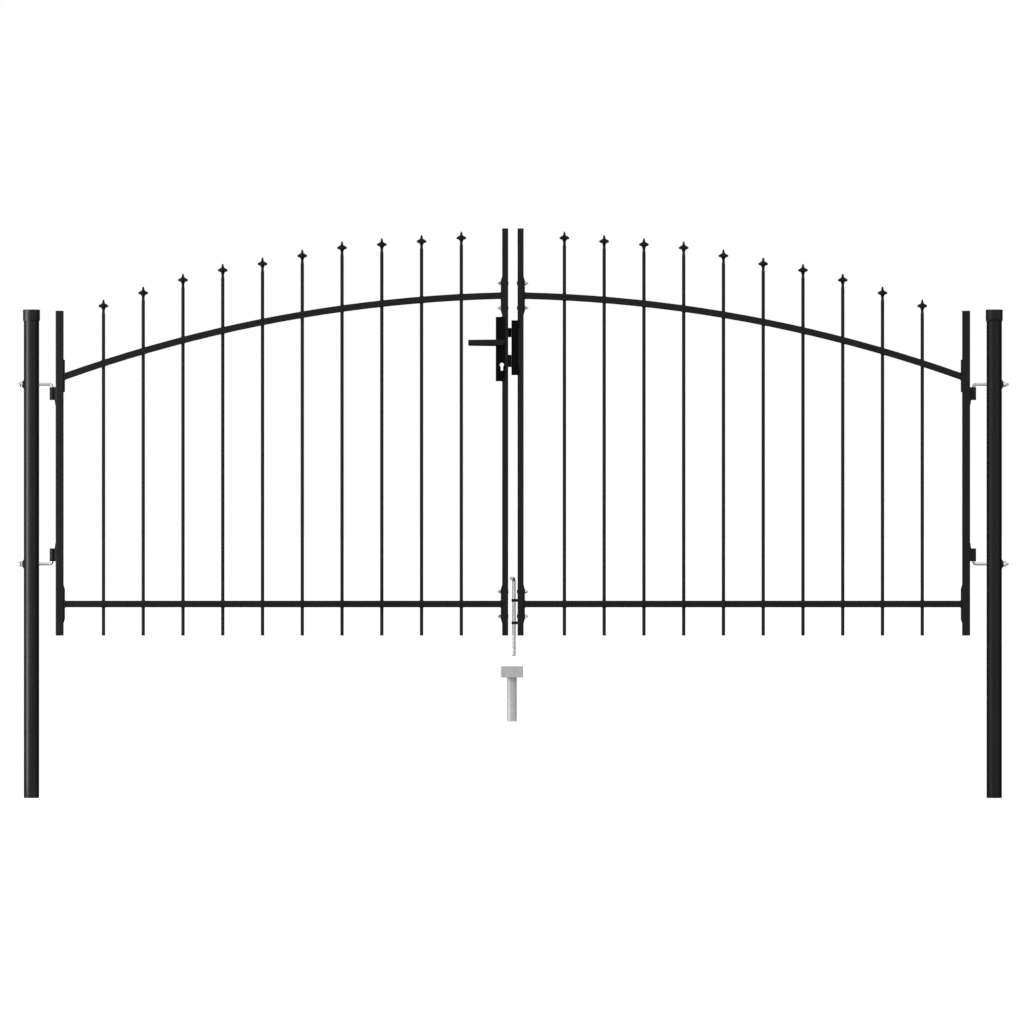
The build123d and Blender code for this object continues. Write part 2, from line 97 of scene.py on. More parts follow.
class Side(Enum):
    """The two halves of the gate."""

    LEFT = "left"
    RIGHT = "right"

    @property
    def inward(self) -> float:
        """Sign of X on the way from this post to the middle of the gate."""
        return 1.0 if self is Side.LEFT else -1.0

    @property
    def leaf(self) -> str:
        """Name of the body that this half's leaf is."""
        return f"{self.value}_leaf"

    def node(self, name: str) -> str:
        """Name of this half's own node of a pair."""
        return f"{self.value}_{name}"


@dataclass(frozen=True)
class Span:
    """A box round a node or round one of the things in it."""

    low: Vector
    high: Vector

    @property
    def middle(self) -> Vector:
        """Centre of the box."""
        return (self.low + self.high) / 2

    @property
    def size(self) -> Vector:
        """Width, depth and height of the box."""
        return self.high - self.low

    def end(self, sign: float) -> float:
        """X of the end that a sign points to."""
        return self.high.x if sign > 0 else self.low.x


@dataclass(frozen=True)
class PackedFrame:
    """The fixed nodes, and what is measured on them."""

    nodes: dict[str, bpy.types.Object]

    def span(self, node: str) -> Span:
        """Box of a whole node."""
        return Span(*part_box(node))

    def groups(self, node: str, axis: int, gap: float) -> list[Span]:
        """Boxes of the things that a node holds, where clear gaps part them along one axis.

        Args:
            node: Name of the node.
            axis: 0, 1 or 2 for X, Y or Z.
            gap: Least clear distance between two things.

        Returns:
            One box for each thing, in order along the axis.
        """
        points = sorted((v.co.copy() for v in self.nodes[node].data.vertices), key=lambda p: p[axis])
        parts = [[points[0]]]
        for point in points[1:]:
            if point[axis] - parts[-1][-1][axis] > gap:
                parts.append([])
            parts[-1].append(point)
        return [
            Span(
                Vector(min(p[i] for p in part) for i in range(3)),
                Vector(max(p[i] for p in part) for i in range(3)),
            )
            for part in parts
        ]


@dataclass(frozen=True)
class Arch:
    """The circle that the upper surface of an arched rail follows."""

    radius: float
    centre_x: float
    centre_z: float

    @classmethod
    def of_rail(cls, frame: PackedFrame, node: str) -> Arch:
        """Fit the circle through the two ends and the middle of a rail's upper surface.

        Args:
            frame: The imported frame.
            node: Name of the arched rail.

        Returns:
            The arch of that rail.
        """
        points = [v.co for v in frame.nodes[node].data.vertices]
        span = frame.span(node)
        near = 0.0005
        spots = []
        for goal in (span.low.x, span.middle.x, span.high.x):
            x = min((p.x for p in points), key=lambda value: abs(value - goal))
            spots.append((x, max(p.z for p in points if abs(p.x - x) < near)))
        (ax, az), (bx, bz), (cx, cz) = spots
        first = ax * ax + az * az - bx * bx - bz * bz
        second = bx * bx + bz * bz - cx * cx - cz * cz
        cross = 2 * ((ax - bx) * (bz - cz) - (bx - cx) * (az - bz))
        centre_x = (first * (bz - cz) - second * (az - bz)) / cross
        centre_z = (second * (ax - bx) - first * (bx - cx)) / cross
        return cls(math.hypot(ax - centre_x, az - centre_z), centre_x, centre_z)

    def height(self, x: float, inset: float = 0.0) -> float:
        """Height of the arch at x, on its upper surface or a distance inside it."""
        return self.centre_z + math.sqrt((self.radius - inset) ** 2 - (x - self.centre_x) ** 2)

    def slope(self, x: float) -> float:
        """Rise of the arch for each metre along X."""
        return (self.centre_x - x) / (self.height(x) - self.centre_z)


def aim(origin: Vector, ahead: Vector, roll: float = 0.0) -> Matrix:
    """Matrix that puts local Z along a direction at a point, turned about it by a roll."""
    turn = ahead.to_track_quat("Z", "Y").to_matrix().to_4x4()
    return Matrix.Translation(origin) @ turn @ Matrix.Rotation(roll, 4, "Z")


def new_verts(bm: bmesh.types.BMesh, points: Iterable[Sequence[float]]) -> list[bmesh.types.BMVert]:
    """Add a vertex at each point."""
    return [bm.verts.new(point) for point in points]


def close_shell(bm: bmesh.types.BMesh) -> None:
    """Merge doubled vertices and turn every face outwards."""
    bmesh.ops.remove_doubles(bm, verts=bm.verts, dist=1e-6)
    bmesh.ops.recalc_face_normals(bm, faces=bm.faces)


def stock(bm: bmesh.types.BMesh, name: str) -> bpy.types.Mesh:
    """Close a shape and keep it as a mesh that can be placed many times.

    Args:
        bm: The shape, which is freed.
        name: Name of the kept mesh.

    Returns:
        The mesh.
    """
    close_shell(bm)
    mesh = bpy.data.meshes.new(name)
    bm.to_mesh(mesh)
    bm.free()
    return mesh


def place(bm: bmesh.types.BMesh, mesh: bpy.types.Mesh, matrix: Matrix) -> None:
    """Add a copy of a kept mesh to a shape, moved by a matrix.

    Args:
        bm: The shape that gets the copy.
        mesh: The kept mesh.
        matrix: Where the copy goes.
    """
    before = len(bm.verts)
    bm.from_mesh(mesh)
    bm.verts.ensure_lookup_table()
    bmesh.ops.transform(bm, matrix=matrix, verts=bm.verts[before:])


def lathe(profile: Sequence[tuple[float, float]], name: str, steps: int = 32) -> bpy.types.Mesh:
    """Spin a profile of (radius, height) points about local Z.

    Args:
        profile: Points from one end of the shape to the other.
        name: Name of the kept mesh.
        steps: Faces round the full turn.

    Returns:
        The closed shape.
    """
    bm = bmesh.new()
    verts = new_verts(bm, [(radius, 0, height) for radius, height in profile])
    edges = [bm.edges.new(pair) for pair in zip(verts, verts[1:])]
    if profile[0][0] > 0 and profile[-1][0] > 0:
        edges.append(bm.edges.new((verts[-1], verts[0])))
    bmesh.ops.spin(
        bm, geom=verts + edges, cent=(0, 0, 0), axis=Z, dvec=(0, 0, 0),
        angle=TURN, steps=steps, use_merge=True, use_duplicate=False,
    )
    return stock(bm, name)


def sweep(bm: bmesh.types.BMesh, path: Sequence[Vector], radii: Sequence[float], sides: int = 12) -> None:
    """Draw a round section along a path, with a radius for each point of it.

    Args:
        bm: The shape that gets the new solid.
        path: Points of the centre line.
        radii: Radius of the section at each point.
        sides: Faces round the section.
    """
    ahead = (path[1] - path[0]).normalized()
    start = bmesh.ops.create_circle(
        bm, cap_ends=True, segments=sides, radius=radii[0], matrix=aim(path[0], ahead)
    )
    cap = next(iter(start["verts"][0].link_faces))
    for index in range(1, len(path)):
        here, there = path[index - 1], path[index]
        onward = (path[min(index + 1, len(path) - 1)] - path[index - 1]).normalized()
        bend = ahead.rotation_difference(onward).to_matrix().to_4x4()
        grow = Matrix.Scale(radii[index] / radii[index - 1], 4)
        move = Matrix.Translation(there) @ bend @ grow @ Matrix.Translation(-here)
        made = bmesh.ops.extrude_face_region(bm, geom=[cap])["geom"]
        cap = next(item for item in made if isinstance(item, bmesh.types.BMFace))
        bmesh.ops.transform(bm, matrix=move, verts=list(cap.verts))
        ahead = onward


def bent_path(start: Vector, corner: Vector, end: Vector, radius: float, steps: int = 10) -> list[Vector]:
    """Centre line of a rod with one bend.

    Args:
        start: First end of the rod.
        corner: Where the two straight runs would cross.
        end: Last end of the rod.
        radius: Radius of the bend, on the centre line.
        steps: Short runs round the bend.

    Returns:
        Points from start to end.
    """
    back, out = (start - corner).normalized(), (end - corner).normalized()
    turn = math.pi - back.angle(out)
    tangent = radius * math.tan(turn / 2)
    centre = corner + (back + out).normalized() * (radius / math.cos(turn / 2))
    first = corner + back * tangent - centre
    axis = first.cross(corner + out * tangent - centre).normalized()
    arc = [centre + Matrix.Rotation(turn * i / steps, 3, axis) @ first for i in range(steps + 1)]
    return [start, *arc, end]


def split_run(start: Vector, end: Vector, pitch: float) -> list[Vector]:
    """Points along a straight run, about a pitch apart."""
    count = max(2, round((end - start).length / pitch))
    return [start.lerp(end, i / count) for i in range(count + 1)]


@dataclass(frozen=True)
class WeldBead:
    """A bead of weld with the ripple that the torch leaves."""

    radius: float = 0.0022
    pitch: float = 0.0016
    ripple: float = 0.12
    end_share: float = 0.45
    growth: float = 0.3
    sides: int = 8
    ring_steps: int = 20

    def lay(self, bm: bmesh.types.BMesh, corners: Sequence[Vector]) -> None:
        """Lay the bead along straight runs from corner to corner.

        Args:
            bm: The shape that gets the bead.
            corners: Ends of the runs, in order.
        """
        path = [corners[0]]
        for start, end in zip(corners, corners[1:]):
            path += split_run(start, end, self.pitch)[1:]
        last = len(path) - 1
        radii = []
        for i in range(len(path)):
            taper = min(1.0, self.end_share + self.growth * min(i, last - i))
            radii.append(self.radius * (1 + self.ripple * (-1) ** i) * taper)
        sweep(bm, path, radii, self.sides)

    def ring(self, bm: bmesh.types.BMesh, centre: Vector, bore: float, slope: float = 0.0) -> None:
        """Lay the bead round an upright bar where it passes a level or sloping face.

        Args:
            bm: The shape that gets the bead.
            centre: Where the bar's axis meets the face.
            bore: Radius of the bar.
            slope: Rise of the face along X.
        """
        before = len(bm.verts)
        section = bmesh.ops.create_circle(
            bm, segments=self.sides, radius=self.radius, matrix=aim(X * bore, Y)
        )["verts"]
        edges = list({edge for vert in section for edge in vert.link_edges})
        bmesh.ops.spin(
            bm, geom=section + edges, cent=(0, 0, 0), axis=Z, dvec=(0, 0, 0),
            angle=TURN, steps=self.ring_steps, use_merge=True, use_duplicate=False,
        )
        bm.verts.ensure_lookup_table()
        lean = Matrix.Identity(4)
        lean[2][0] = slope
        bmesh.ops.transform(bm, matrix=Matrix.Translation(centre) @ lean, verts=bm.verts[before:])


@dataclass(frozen=True)
class ScrewThread:
    """A metric thread as a ridge wound round a core."""

    radius: float
    pitch: float
    steps: int = 14
    depth_share: float = 0.61
    crest_share: float = 0.16
    root_share: float = 0.46
    sunk_share: float = 0.08

    @property
    def core(self) -> float:
        """Radius at the root of the thread."""
        return self.radius - self.depth_share * self.pitch

    def wind(self, bm: bmesh.types.BMesh, start: Vector, ahead: Vector, length: float) -> None:
        """Wind the ridge round an axis.

        Args:
            bm: The shape that gets the ridge.
            start: Point of the axis where the thread begins.
            ahead: Direction of the axis.
            length: Length of the thread.
        """
        before = len(bm.verts)
        crest, root = self.crest_share * self.pitch / 2, self.root_share * self.pitch
        inner, outer = self.core - self.pitch * self.sunk_share, self.radius
        verts = new_verts(bm, [(inner, 0, -root), (outer, 0, -crest), (outer, 0, crest), (inner, 0, root)])
        face = bm.faces.new(verts)
        turns = (length - 2 * root) / self.pitch
        steps = round(turns * self.steps)
        bmesh.ops.spin(
            bm, geom=[face, *face.edges, *verts], cent=(0, 0, 0), axis=Z,
            dvec=Z * ((length - 2 * root) / steps), angle=TURN * turns, steps=steps,
            use_merge=False, use_duplicate=False,
        )
        bm.verts.ensure_lookup_table()
        matrix = aim(start + ahead * root, ahead)
        bmesh.ops.transform(bm, matrix=matrix, verts=bm.verts[before:])


@dataclass(frozen=True)
class HexNut:
    """A hexagon nut, chamfered on both faces."""

    flats: float
    height: float
    bore: float
    steps: int = 48
    face_share: float = 0.95
    bore_share: float = 0.12

    def mesh(self, name: str) -> bpy.types.Mesh:
        """Spin a barrel and draw its rings out to the hexagon.

        Args:
            name: Name of the kept mesh.

        Returns:
            The nut, from local Z = 0 up to its height.
        """
        apothem, half_side = self.flats / 2, math.pi / 6
        chamfer_radius = apothem * self.face_share
        bore_chamfer = self.bore * self.bore_share
        corner = apothem / math.cos(half_side)
        drop = (corner - chamfer_radius) * math.tan(half_side)
        profile = [
            (self.bore, bore_chamfer), (self.bore + bore_chamfer, 0), (chamfer_radius, 0), (corner, drop),
            (corner, self.height - drop), (chamfer_radius, self.height),
            (self.bore + bore_chamfer, self.height), (self.bore, self.height - bore_chamfer),
        ]
        mesh = lathe(profile, name, self.steps)
        for vert in mesh.vertices:
            reach = math.hypot(vert.co.x, vert.co.y)
            if reach < chamfer_radius + CLOSE:
                continue
            angle = math.atan2(vert.co.y, vert.co.x) % (2 * half_side) - half_side
            side = apothem / math.cos(angle)
            rise = (side - chamfer_radius) * math.tan(half_side)
            vert.co.z = rise if vert.co.z < self.height / 2 else self.height - rise
            vert.co.x *= side / reach
            vert.co.y *= side / reach
        return mesh


def dome(radius: float, rise: float, name: str, rings: int = 6) -> bpy.types.Mesh:
    """A button head from local Z = 0, with a short straight rim.

    Args:
        radius: Radius of the head.
        rise: Height of the head.
        name: Name of the kept mesh.
        rings: Bands from the rim to the crown.

    Returns:
        The head.
    """
    rim_share, foot_share = 0.2, 0.96
    rim = rise * rim_share
    arc = []
    for i in range(rings):
        turn = math.pi / 2 * i / rings
        arc.append((radius * math.cos(turn), rim + (rise - rim) * math.sin(turn)))
    return lathe([(0, 0), (radius * foot_share, 0), *arc, (0, rise)], name)


class NodeSheet:
    """A node tree under construction."""

    def __init__(self, tree: bpy.types.NodeTree) -> None:
        """Start on a tree with no nodes."""
        self.tree = tree
        self.tree.nodes.clear()

    def add(
        self, kind: str, inputs: dict[str | int, object] | None = None, **settings: object
    ) -> bpy.types.Node:
        """Add a node, set its fields and fill or join its inputs.

        Args:
            kind: Blender's name for the node, without its ShaderNode prefix.
            inputs: Value or socket for each named or numbered input.
            settings: Values of the node's own fields.

        Returns:
            The node.
        """
        prefix = "" if kind.startswith("NodeGroup") else "ShaderNode"
        node = self.tree.nodes.new(prefix + kind)
        for key, value in settings.items():
            setattr(node, key, value)
        for key, value in (inputs or {}).items():
            if isinstance(value, Socket):
                self.tree.links.new(value, node.inputs[key])
            else:
                node.inputs[key].default_value = value
        return node

    def math(self, operation: str, *values: object, clamp: bool = False) -> Socket:
        """Add a Math node and give its result."""
        inputs = dict(enumerate(values))
        return self.add("Math", inputs, operation=operation, use_clamp=clamp).outputs[0]

    def remap(
        self, value: Socket, low: float, high: float, to_low: float = 0.0, to_high: float = 1.0
    ) -> Socket:
        """Add a smooth Map Range node and give its result."""
        inputs = {"Value": value, "From Min": low, "From Max": high, "To Min": to_low, "To Max": to_high}
        return self.add("MapRange", inputs, interpolation_type="SMOOTHSTEP").outputs["Result"]

    def noise(self, where: Socket, scale: float | Socket, detail: float = 3.0, rough: float = 0.5) -> Socket:
        """Add a Noise Texture node and give its value."""
        inputs = {"Vector": where, "Scale": scale, "Detail": detail, "Roughness": rough}
        return self.add("TexNoise", inputs).outputs["Fac"]

    def blend(self, factor: object, first: object, second: object) -> Socket:
        """Add a colour Mix node and give its result.

        Args:
            factor: Share of the second colour.
            first: Colour at 0.
            second: Colour at 1.

        Returns:
            The blended colour.
        """
        node = self.add("Mix", data_type="RGBA")
        for index, value in ((MIX_FACTOR, factor), (MIX_FIRST, first), (MIX_SECOND, second)):
            if isinstance(value, Socket):
                self.tree.links.new(value, node.inputs[index])
            else:
                node.inputs[index].default_value = value
        return node.outputs[MIX_RESULT]

    def place_on_object(self) -> Socket:
        """Position in the gate's own frame."""
        return self.add("TexCoord").outputs["Object"]


def rgba(colour: Colour) -> tuple[float, float, float, float]:
    """Colour with full alpha."""
    return (*colour, 1.0)


class EffectGroups:
    """Shader groups that more than one finish uses, each built once."""

    def __init__(self) -> None:
        """Start with no group built."""
        self._built: dict[str, bpy.types.NodeTree] = {}

    def _group(
        self, name: str, inputs: dict[str, float], outputs: Sequence[str], draw: Callable[..., None]
    ) -> bpy.types.NodeTree:
        """Build a group on its first use.

        Args:
            name: Name of the group.
            inputs: Name and usual value of each float input.
            outputs: Names of the float outputs.
            draw: Method that draws the inside.

        Returns:
            The group.
        """
        if name not in self._built:
            tree = bpy.data.node_groups.new(name, "ShaderNodeTree")
            for key, value in inputs.items():
                socket = tree.interface.new_socket(key, in_out="INPUT", socket_type="NodeSocketFloat")
                socket.default_value = value
            for key in outputs:
                tree.interface.new_socket(key, in_out="OUTPUT", socket_type="NodeSocketFloat")
            sheet = NodeSheet(tree)
            draw(sheet, sheet.add("NodeGroupInput").outputs, sheet.add("NodeGroupOutput").inputs)
            self._built[name] = tree
        return self._built[name]

    @staticmethod
    def _draw_edges(sheet: NodeSheet, given: bpy.types.NodeOutputs, out: bpy.types.NodeInputs) -> None:
        """Find outer corners by how far a rounded normal leaves the true one.

        Args:
            sheet: The group's tree.
            given: Sockets of the group's inputs.
            out: Sockets of its outputs.
        """
        spot_scale, least, most = 90.0, 0.3, 1.4
        rounded = sheet.add("Bevel", {"Radius": given["Radius"]}, samples=6).outputs["Normal"]
        true = sheet.add("NewGeometry").outputs["Normal"]
        along = sheet.add("VectorMath", {0: rounded, 1: true}, operation="DOT_PRODUCT").outputs["Value"]
        bent = sheet.math("SUBTRACT", 1.0, along)
        spots = sheet.noise(sheet.place_on_object(), spot_scale, detail=2.0)
        broken = sheet.math("MULTIPLY", bent, sheet.remap(spots, 0.35, 0.65, least, most))
        sheet.tree.links.new(sheet.math("MULTIPLY", broken, given["Gain"], clamp=True), out["Edge"])

    def edges(self) -> bpy.types.NodeTree:
        """Mask of the edges where a coat is thin or rubbed."""
        return self._group("rubbed_edges", {"Radius": 0.001, "Gain": 3.0}, ["Edge"], self._draw_edges)

    @staticmethod
    def _draw_peel(sheet: NodeSheet, given: bpy.types.NodeOutputs, out: bpy.types.NodeInputs) -> None:
        """Fine pebbling over a slow swell, as sprayed powder flows when it bakes.

        Args:
            sheet: The group's tree.
            given: Sockets of the group's inputs.
            out: Sockets of its outputs.
        """
        swell_scale, fine_height, swell_height = 0.12, 0.7, 0.5
        where = sheet.place_on_object()
        fine = sheet.noise(where, given["Scale"], detail=2.0, rough=0.45)
        swell = sheet.noise(where, sheet.math("MULTIPLY", given["Scale"], swell_scale), detail=2.0)
        pebbles = sheet.math("MULTIPLY", fine, fine_height)
        mixed = sheet.math("ADD", pebbles, sheet.math("MULTIPLY", swell, swell_height))
        sheet.tree.links.new(mixed, out["Height"])

    def peel(self) -> bpy.types.NodeTree:
        """Height of orange peel."""
        return self._group("orange_peel", {"Scale": 700.0}, ["Height"], self._draw_peel)

    @staticmethod
    def _draw_dust(sheet: NodeSheet, given: bpy.types.NodeOutputs, out: bpy.types.NodeInputs) -> None:
        """Dust that lies on faces that look up, thicker in patches.

        Args:
            sheet: The group's tree.
            given: Sockets of the group's inputs.
            out: Sockets of its outputs.
        """
        steepest, flattest, patch_scale, thinnest = 0.55, 0.98, 24.0, 0.25
        normal = sheet.add("NewGeometry").outputs["Normal"]
        up = sheet.add("SeparateXYZ", {0: normal}).outputs["Z"]
        lying = sheet.remap(up, steepest, flattest)
        cloud = sheet.noise(sheet.place_on_object(), patch_scale, detail=5.0, rough=0.6)
        patches = sheet.remap(cloud, 0.38, 0.7, thinnest, 1.0)
        settled = sheet.math("MULTIPLY", lying, patches)
        sheet.tree.links.new(sheet.math("MULTIPLY", settled, given["Amount"], clamp=True), out["Dust"])

    def dust(self) -> bpy.types.NodeTree:
        """Mask of settled dust."""
        return self._group("settled_dust", {"Amount": 0.3}, ["Dust"], self._draw_dust)

    @staticmethod
    def _draw_tone(sheet: NodeSheet, given: bpy.types.NodeOutputs, out: bpy.types.NodeInputs) -> None:
        """Slow patches and fine streaks that part one stretch of metal from the next.

        Args:
            sheet: The group's tree.
            given: Sockets of the group's inputs.
            out: Sockets of its outputs.
        """
        cloud_share, streak_share, streak_scale, squeeze = 0.65, 0.35, 9.0, 0.06
        where = sheet.place_on_object()
        cloud = sheet.noise(where, given["Scale"], detail=4.0, rough=0.55)
        stretch = sheet.add("Mapping", {"Vector": where, "Scale": (1.0, 1.0, squeeze)}).outputs["Vector"]
        streak_size = sheet.math("MULTIPLY", given["Scale"], streak_scale)
        streak = sheet.noise(stretch, streak_size, detail=2.0, rough=0.6)
        clouds = sheet.math("MULTIPLY", cloud, cloud_share)
        both = sheet.math("ADD", clouds, sheet.math("MULTIPLY", streak, streak_share))
        sheet.tree.links.new(sheet.remap(both, 0.32, 0.68), out["Tone"])

    def tone(self) -> bpy.types.NodeTree:
        """Tone of a metal or a coat that isn't even."""
        return self._group("uneven_tone", {"Scale": 12.0}, ["Tone"], self._draw_tone)

    @staticmethod
    def _draw_spangle(sheet: NodeSheet, given: bpy.types.NodeOutputs, out: bpy.types.NodeInputs) -> None:
        """Crystals of a hot-dipped sheet, each with a tone of its own.

        Args:
            sheet: The group's tree.
            given: Sockets of the group's inputs.
            out: Sockets of its outputs.
        """
        warp_scale, warp_reach = 60.0, 0.012
        where = sheet.place_on_object()
        warp = sheet.add("TexNoise", {"Vector": where, "Scale": warp_scale, "Detail": 2.0}).outputs["Color"]
        bent = sheet.add("VectorMath", {0: warp, 1: [warp_reach] * 3}, operation="MULTIPLY").outputs[0]
        moved = sheet.add("VectorMath", {0: where, 1: bent}, operation="ADD").outputs[0]
        cells = sheet.add("TexVoronoi", {"Vector": moved, "Scale": given["Scale"]})
        parts = sheet.add("SeparateColor", {0: cells.outputs["Color"]})
        sheet.tree.links.new(parts.outputs["Red"], out["Tone"])

    def spangle(self) -> bpy.types.NodeTree:
        """Tone of each zinc crystal."""
        return self._group("zinc_spangle", {"Scale": 160.0}, ["Tone"], self._draw_spangle)

    @staticmethod
    def use(sheet: NodeSheet, tree: bpy.types.NodeTree, **inputs: float) -> Socket:
        """Place a group in a material with its own values and give its first output.

        Args:
            sheet: The material's tree.
            tree: The group.
            inputs: Value of each of its inputs, by a small-letter name.

        Returns:
            The group's first output.
        """
        node = sheet.add("Group", node_tree=tree)
        for key, value in inputs.items():
            node.inputs[key.capitalize()].default_value = value
        return node.outputs[0]


@dataclass(frozen=True)
class Relief:
    """Fine relief of a finish: its bump's strength and height, and how round hard corners seem."""

    strength: float
    height: float
    soften: float


def principled(sheet: NodeSheet, height: Socket, relief: Relief, **inputs: object) -> None:
    """End a material in one Principled BSDF with softened corners and a bump.

    Args:
        sheet: The material's tree.
        height: Height that the bump reads.
        relief: How deep the bump goes and how round hard corners seem.
        inputs: Value or socket for each of the shader's inputs, with _ for a space.
    """
    rounded = sheet.add("Bevel", {"Radius": relief.soften}, samples=4).outputs["Normal"]
    bump = sheet.add(
        "Bump", {"Height": height, "Strength": relief.strength, "Distance": relief.height, "Normal": rounded}
    )
    named = {key.replace("_", " "): value for key, value in inputs.items()}
    shader = sheet.add("BsdfPrincipled", {**named, "Normal": bump.outputs["Normal"]})
    sheet.add("OutputMaterial", {"Surface": shader.outputs["BSDF"]})


def new_sheet(name: str) -> tuple[bpy.types.Material, NodeSheet]:
    """A material with an empty tree.

    Args:
        name: Name of the material.

    Returns:
        The material and the sheet.
    """
    material = bpy.data.materials.new(name)
    material.use_nodes = True
    return material, NodeSheet(material.node_tree)


def scaled(colour: Colour, share: float) -> tuple[float, float, float, float]:
    """Colour made darker or lighter by a share, with full alpha."""
    return rgba(tuple(share * value for value in colour))


@dataclass(frozen=True)
class Finish:
    """A finish with a name, which draws itself on an empty sheet."""

    name: str

    def draw(self, sheet: NodeSheet, groups: EffectGroups) -> None:
        """Draw the nodes of the finish."""
        raise NotImplementedError

    def material(self, groups: EffectGroups) -> bpy.types.Material:
        """Build the material.

        Args:
            groups: The shared effects.

        Returns:
            The material.
        """
        material, sheet = new_sheet(self.name)
        self.draw(sheet, groups)
        return material


@dataclass(frozen=True)
class PowderCoat(Finish):
    """Black powder coat: orange peel, edges where it runs thin, and a little dust on top.

    Its gloss fades where a face turns away, so that round tubes end in a dark edge.
    """

    colour: Colour
    roughness: float
    specular: float
    dust_amount: float = 0.12
    dust_colour: Colour = (0.16, 0.15, 0.14)
    dust_dulling: float = 0.5
    edge_colour: Colour = (0.035, 0.035, 0.036)
    edge_radius: float = 0.0011
    edge_gain: float = 1.2
    tone_scale: float = 5.0
    tone_shares: Pair = (0.8, 1.25)
    sheen_spread: Pair = (-0.03, 0.04)
    fade_facing: Pair = (0.06, 0.5)
    gloss_left: float = 0.08
    peel_scale: float = 620.0
    relief: Relief = Relief(0.16, 0.0006, 0.0009)

    def draw(self, sheet: NodeSheet, groups: EffectGroups) -> None:
        """Draw the coat, its thin edges, the dust and the fading gloss.

        Args:
            sheet: The material's empty tree.
            groups: The shared effects.
        """
        tone = groups.use(sheet, groups.tone(), scale=self.tone_scale)
        edge = groups.use(sheet, groups.edges(), radius=self.edge_radius, gain=self.edge_gain)
        dust = groups.use(sheet, groups.dust(), amount=self.dust_amount)
        dark, light = (scaled(self.colour, share) for share in self.tone_shares)
        worn = sheet.blend(edge, sheet.blend(tone, dark, light), rgba(self.edge_colour))
        colour = sheet.blend(dust, worn, rgba(self.dust_colour))
        low, high = (self.roughness + spread for spread in self.sheen_spread)
        sheen = sheet.remap(tone, 0.0, 1.0, low, high)
        rough = sheet.math("ADD", sheen, sheet.math("MULTIPLY", dust, self.dust_dulling), clamp=True)
        facing = sheet.add("LayerWeight", {"Blend": 0.5}).outputs["Facing"]
        gloss = sheet.remap(facing, *self.fade_facing, self.specular, self.specular * self.gloss_left)
        principled(
            sheet, groups.use(sheet, groups.peel(), scale=self.peel_scale), self.relief,
            Base_Color=colour, Roughness=rough, Specular_IOR_Level=gloss,
        )


@dataclass(frozen=True)
class MouldedPlastic(Finish):
    """Black polyethylene out of a mould, with a fine matt grain."""

    colour: Colour
    roughness: float
    specular: float = 0.3
    light_share: float = 1.5
    tone_scale: float = 9.0
    scuff_colour: Colour = (0.07, 0.07, 0.07)
    scuff_radius: float = 0.0012
    scuff_gain: float = 1.4
    dust_colour: Colour = (0.17, 0.16, 0.15)
    dust_amount: float = 0.22
    sheen_spread: Pair = (-0.04, 0.06)
    grain: float = 2600.0
    relief: Relief = Relief(0.25, 0.0003, 0.0006)

    def draw(self, sheet: NodeSheet, groups: EffectGroups) -> None:
        """Draw the plastic, its scuffed edges, the dust and the grain.

        Args:
            sheet: The material's empty tree.
            groups: The shared effects.
        """
        tone = groups.use(sheet, groups.tone(), scale=self.tone_scale)
        dust = groups.use(sheet, groups.dust(), amount=self.dust_amount)
        edge = groups.use(sheet, groups.edges(), radius=self.scuff_radius, gain=self.scuff_gain)
        body = sheet.blend(tone, rgba(self.colour), scaled(self.colour, self.light_share))
        scuffed = sheet.blend(edge, body, rgba(self.scuff_colour))
        colour = sheet.blend(dust, scuffed, rgba(self.dust_colour))
        low, high = (self.roughness + spread for spread in self.sheen_spread)
        principled(
            sheet, sheet.noise(sheet.place_on_object(), self.grain, 2.0), self.relief,
            Base_Color=colour, Roughness=sheet.remap(tone, 0.0, 1.0, low, high),
            Specular_IOR_Level=self.specular,
        )


@dataclass(frozen=True)
class ZincPlate(Finish):
    """Bright zinc on turned and rolled steel, a little cloudy."""

    bright: Colour
    dull: Colour
    roughness: float
    metallic: float = 0.92
    rubbed: Colour = (0.86, 0.86, 0.85)
    rub_radius: float = 0.0006
    rub_gain: float = 2.5
    tone_scale: float = 30.0
    sheen_spread: Pair = (0.1, -0.04)
    peel_scale: float = 1500.0
    relief: Relief = Relief(0.04, 0.0002, 0.0004)

    def draw(self, sheet: NodeSheet, groups: EffectGroups) -> None:
        """Draw the plating and its rubbed edges.

        Args:
            sheet: The material's empty tree.
            groups: The shared effects.
        """
        tone = groups.use(sheet, groups.tone(), scale=self.tone_scale)
        edge = groups.use(sheet, groups.edges(), radius=self.rub_radius, gain=self.rub_gain)
        skin = sheet.blend(tone, rgba(self.dull), rgba(self.bright))
        low, high = (self.roughness + spread for spread in self.sheen_spread)
        principled(
            sheet, groups.use(sheet, groups.peel(), scale=self.peel_scale), self.relief,
            Base_Color=sheet.blend(edge, skin, rgba(self.rubbed)),
            Roughness=sheet.remap(tone, 0.0, 1.0, low, high), Metallic=self.metallic,
        )


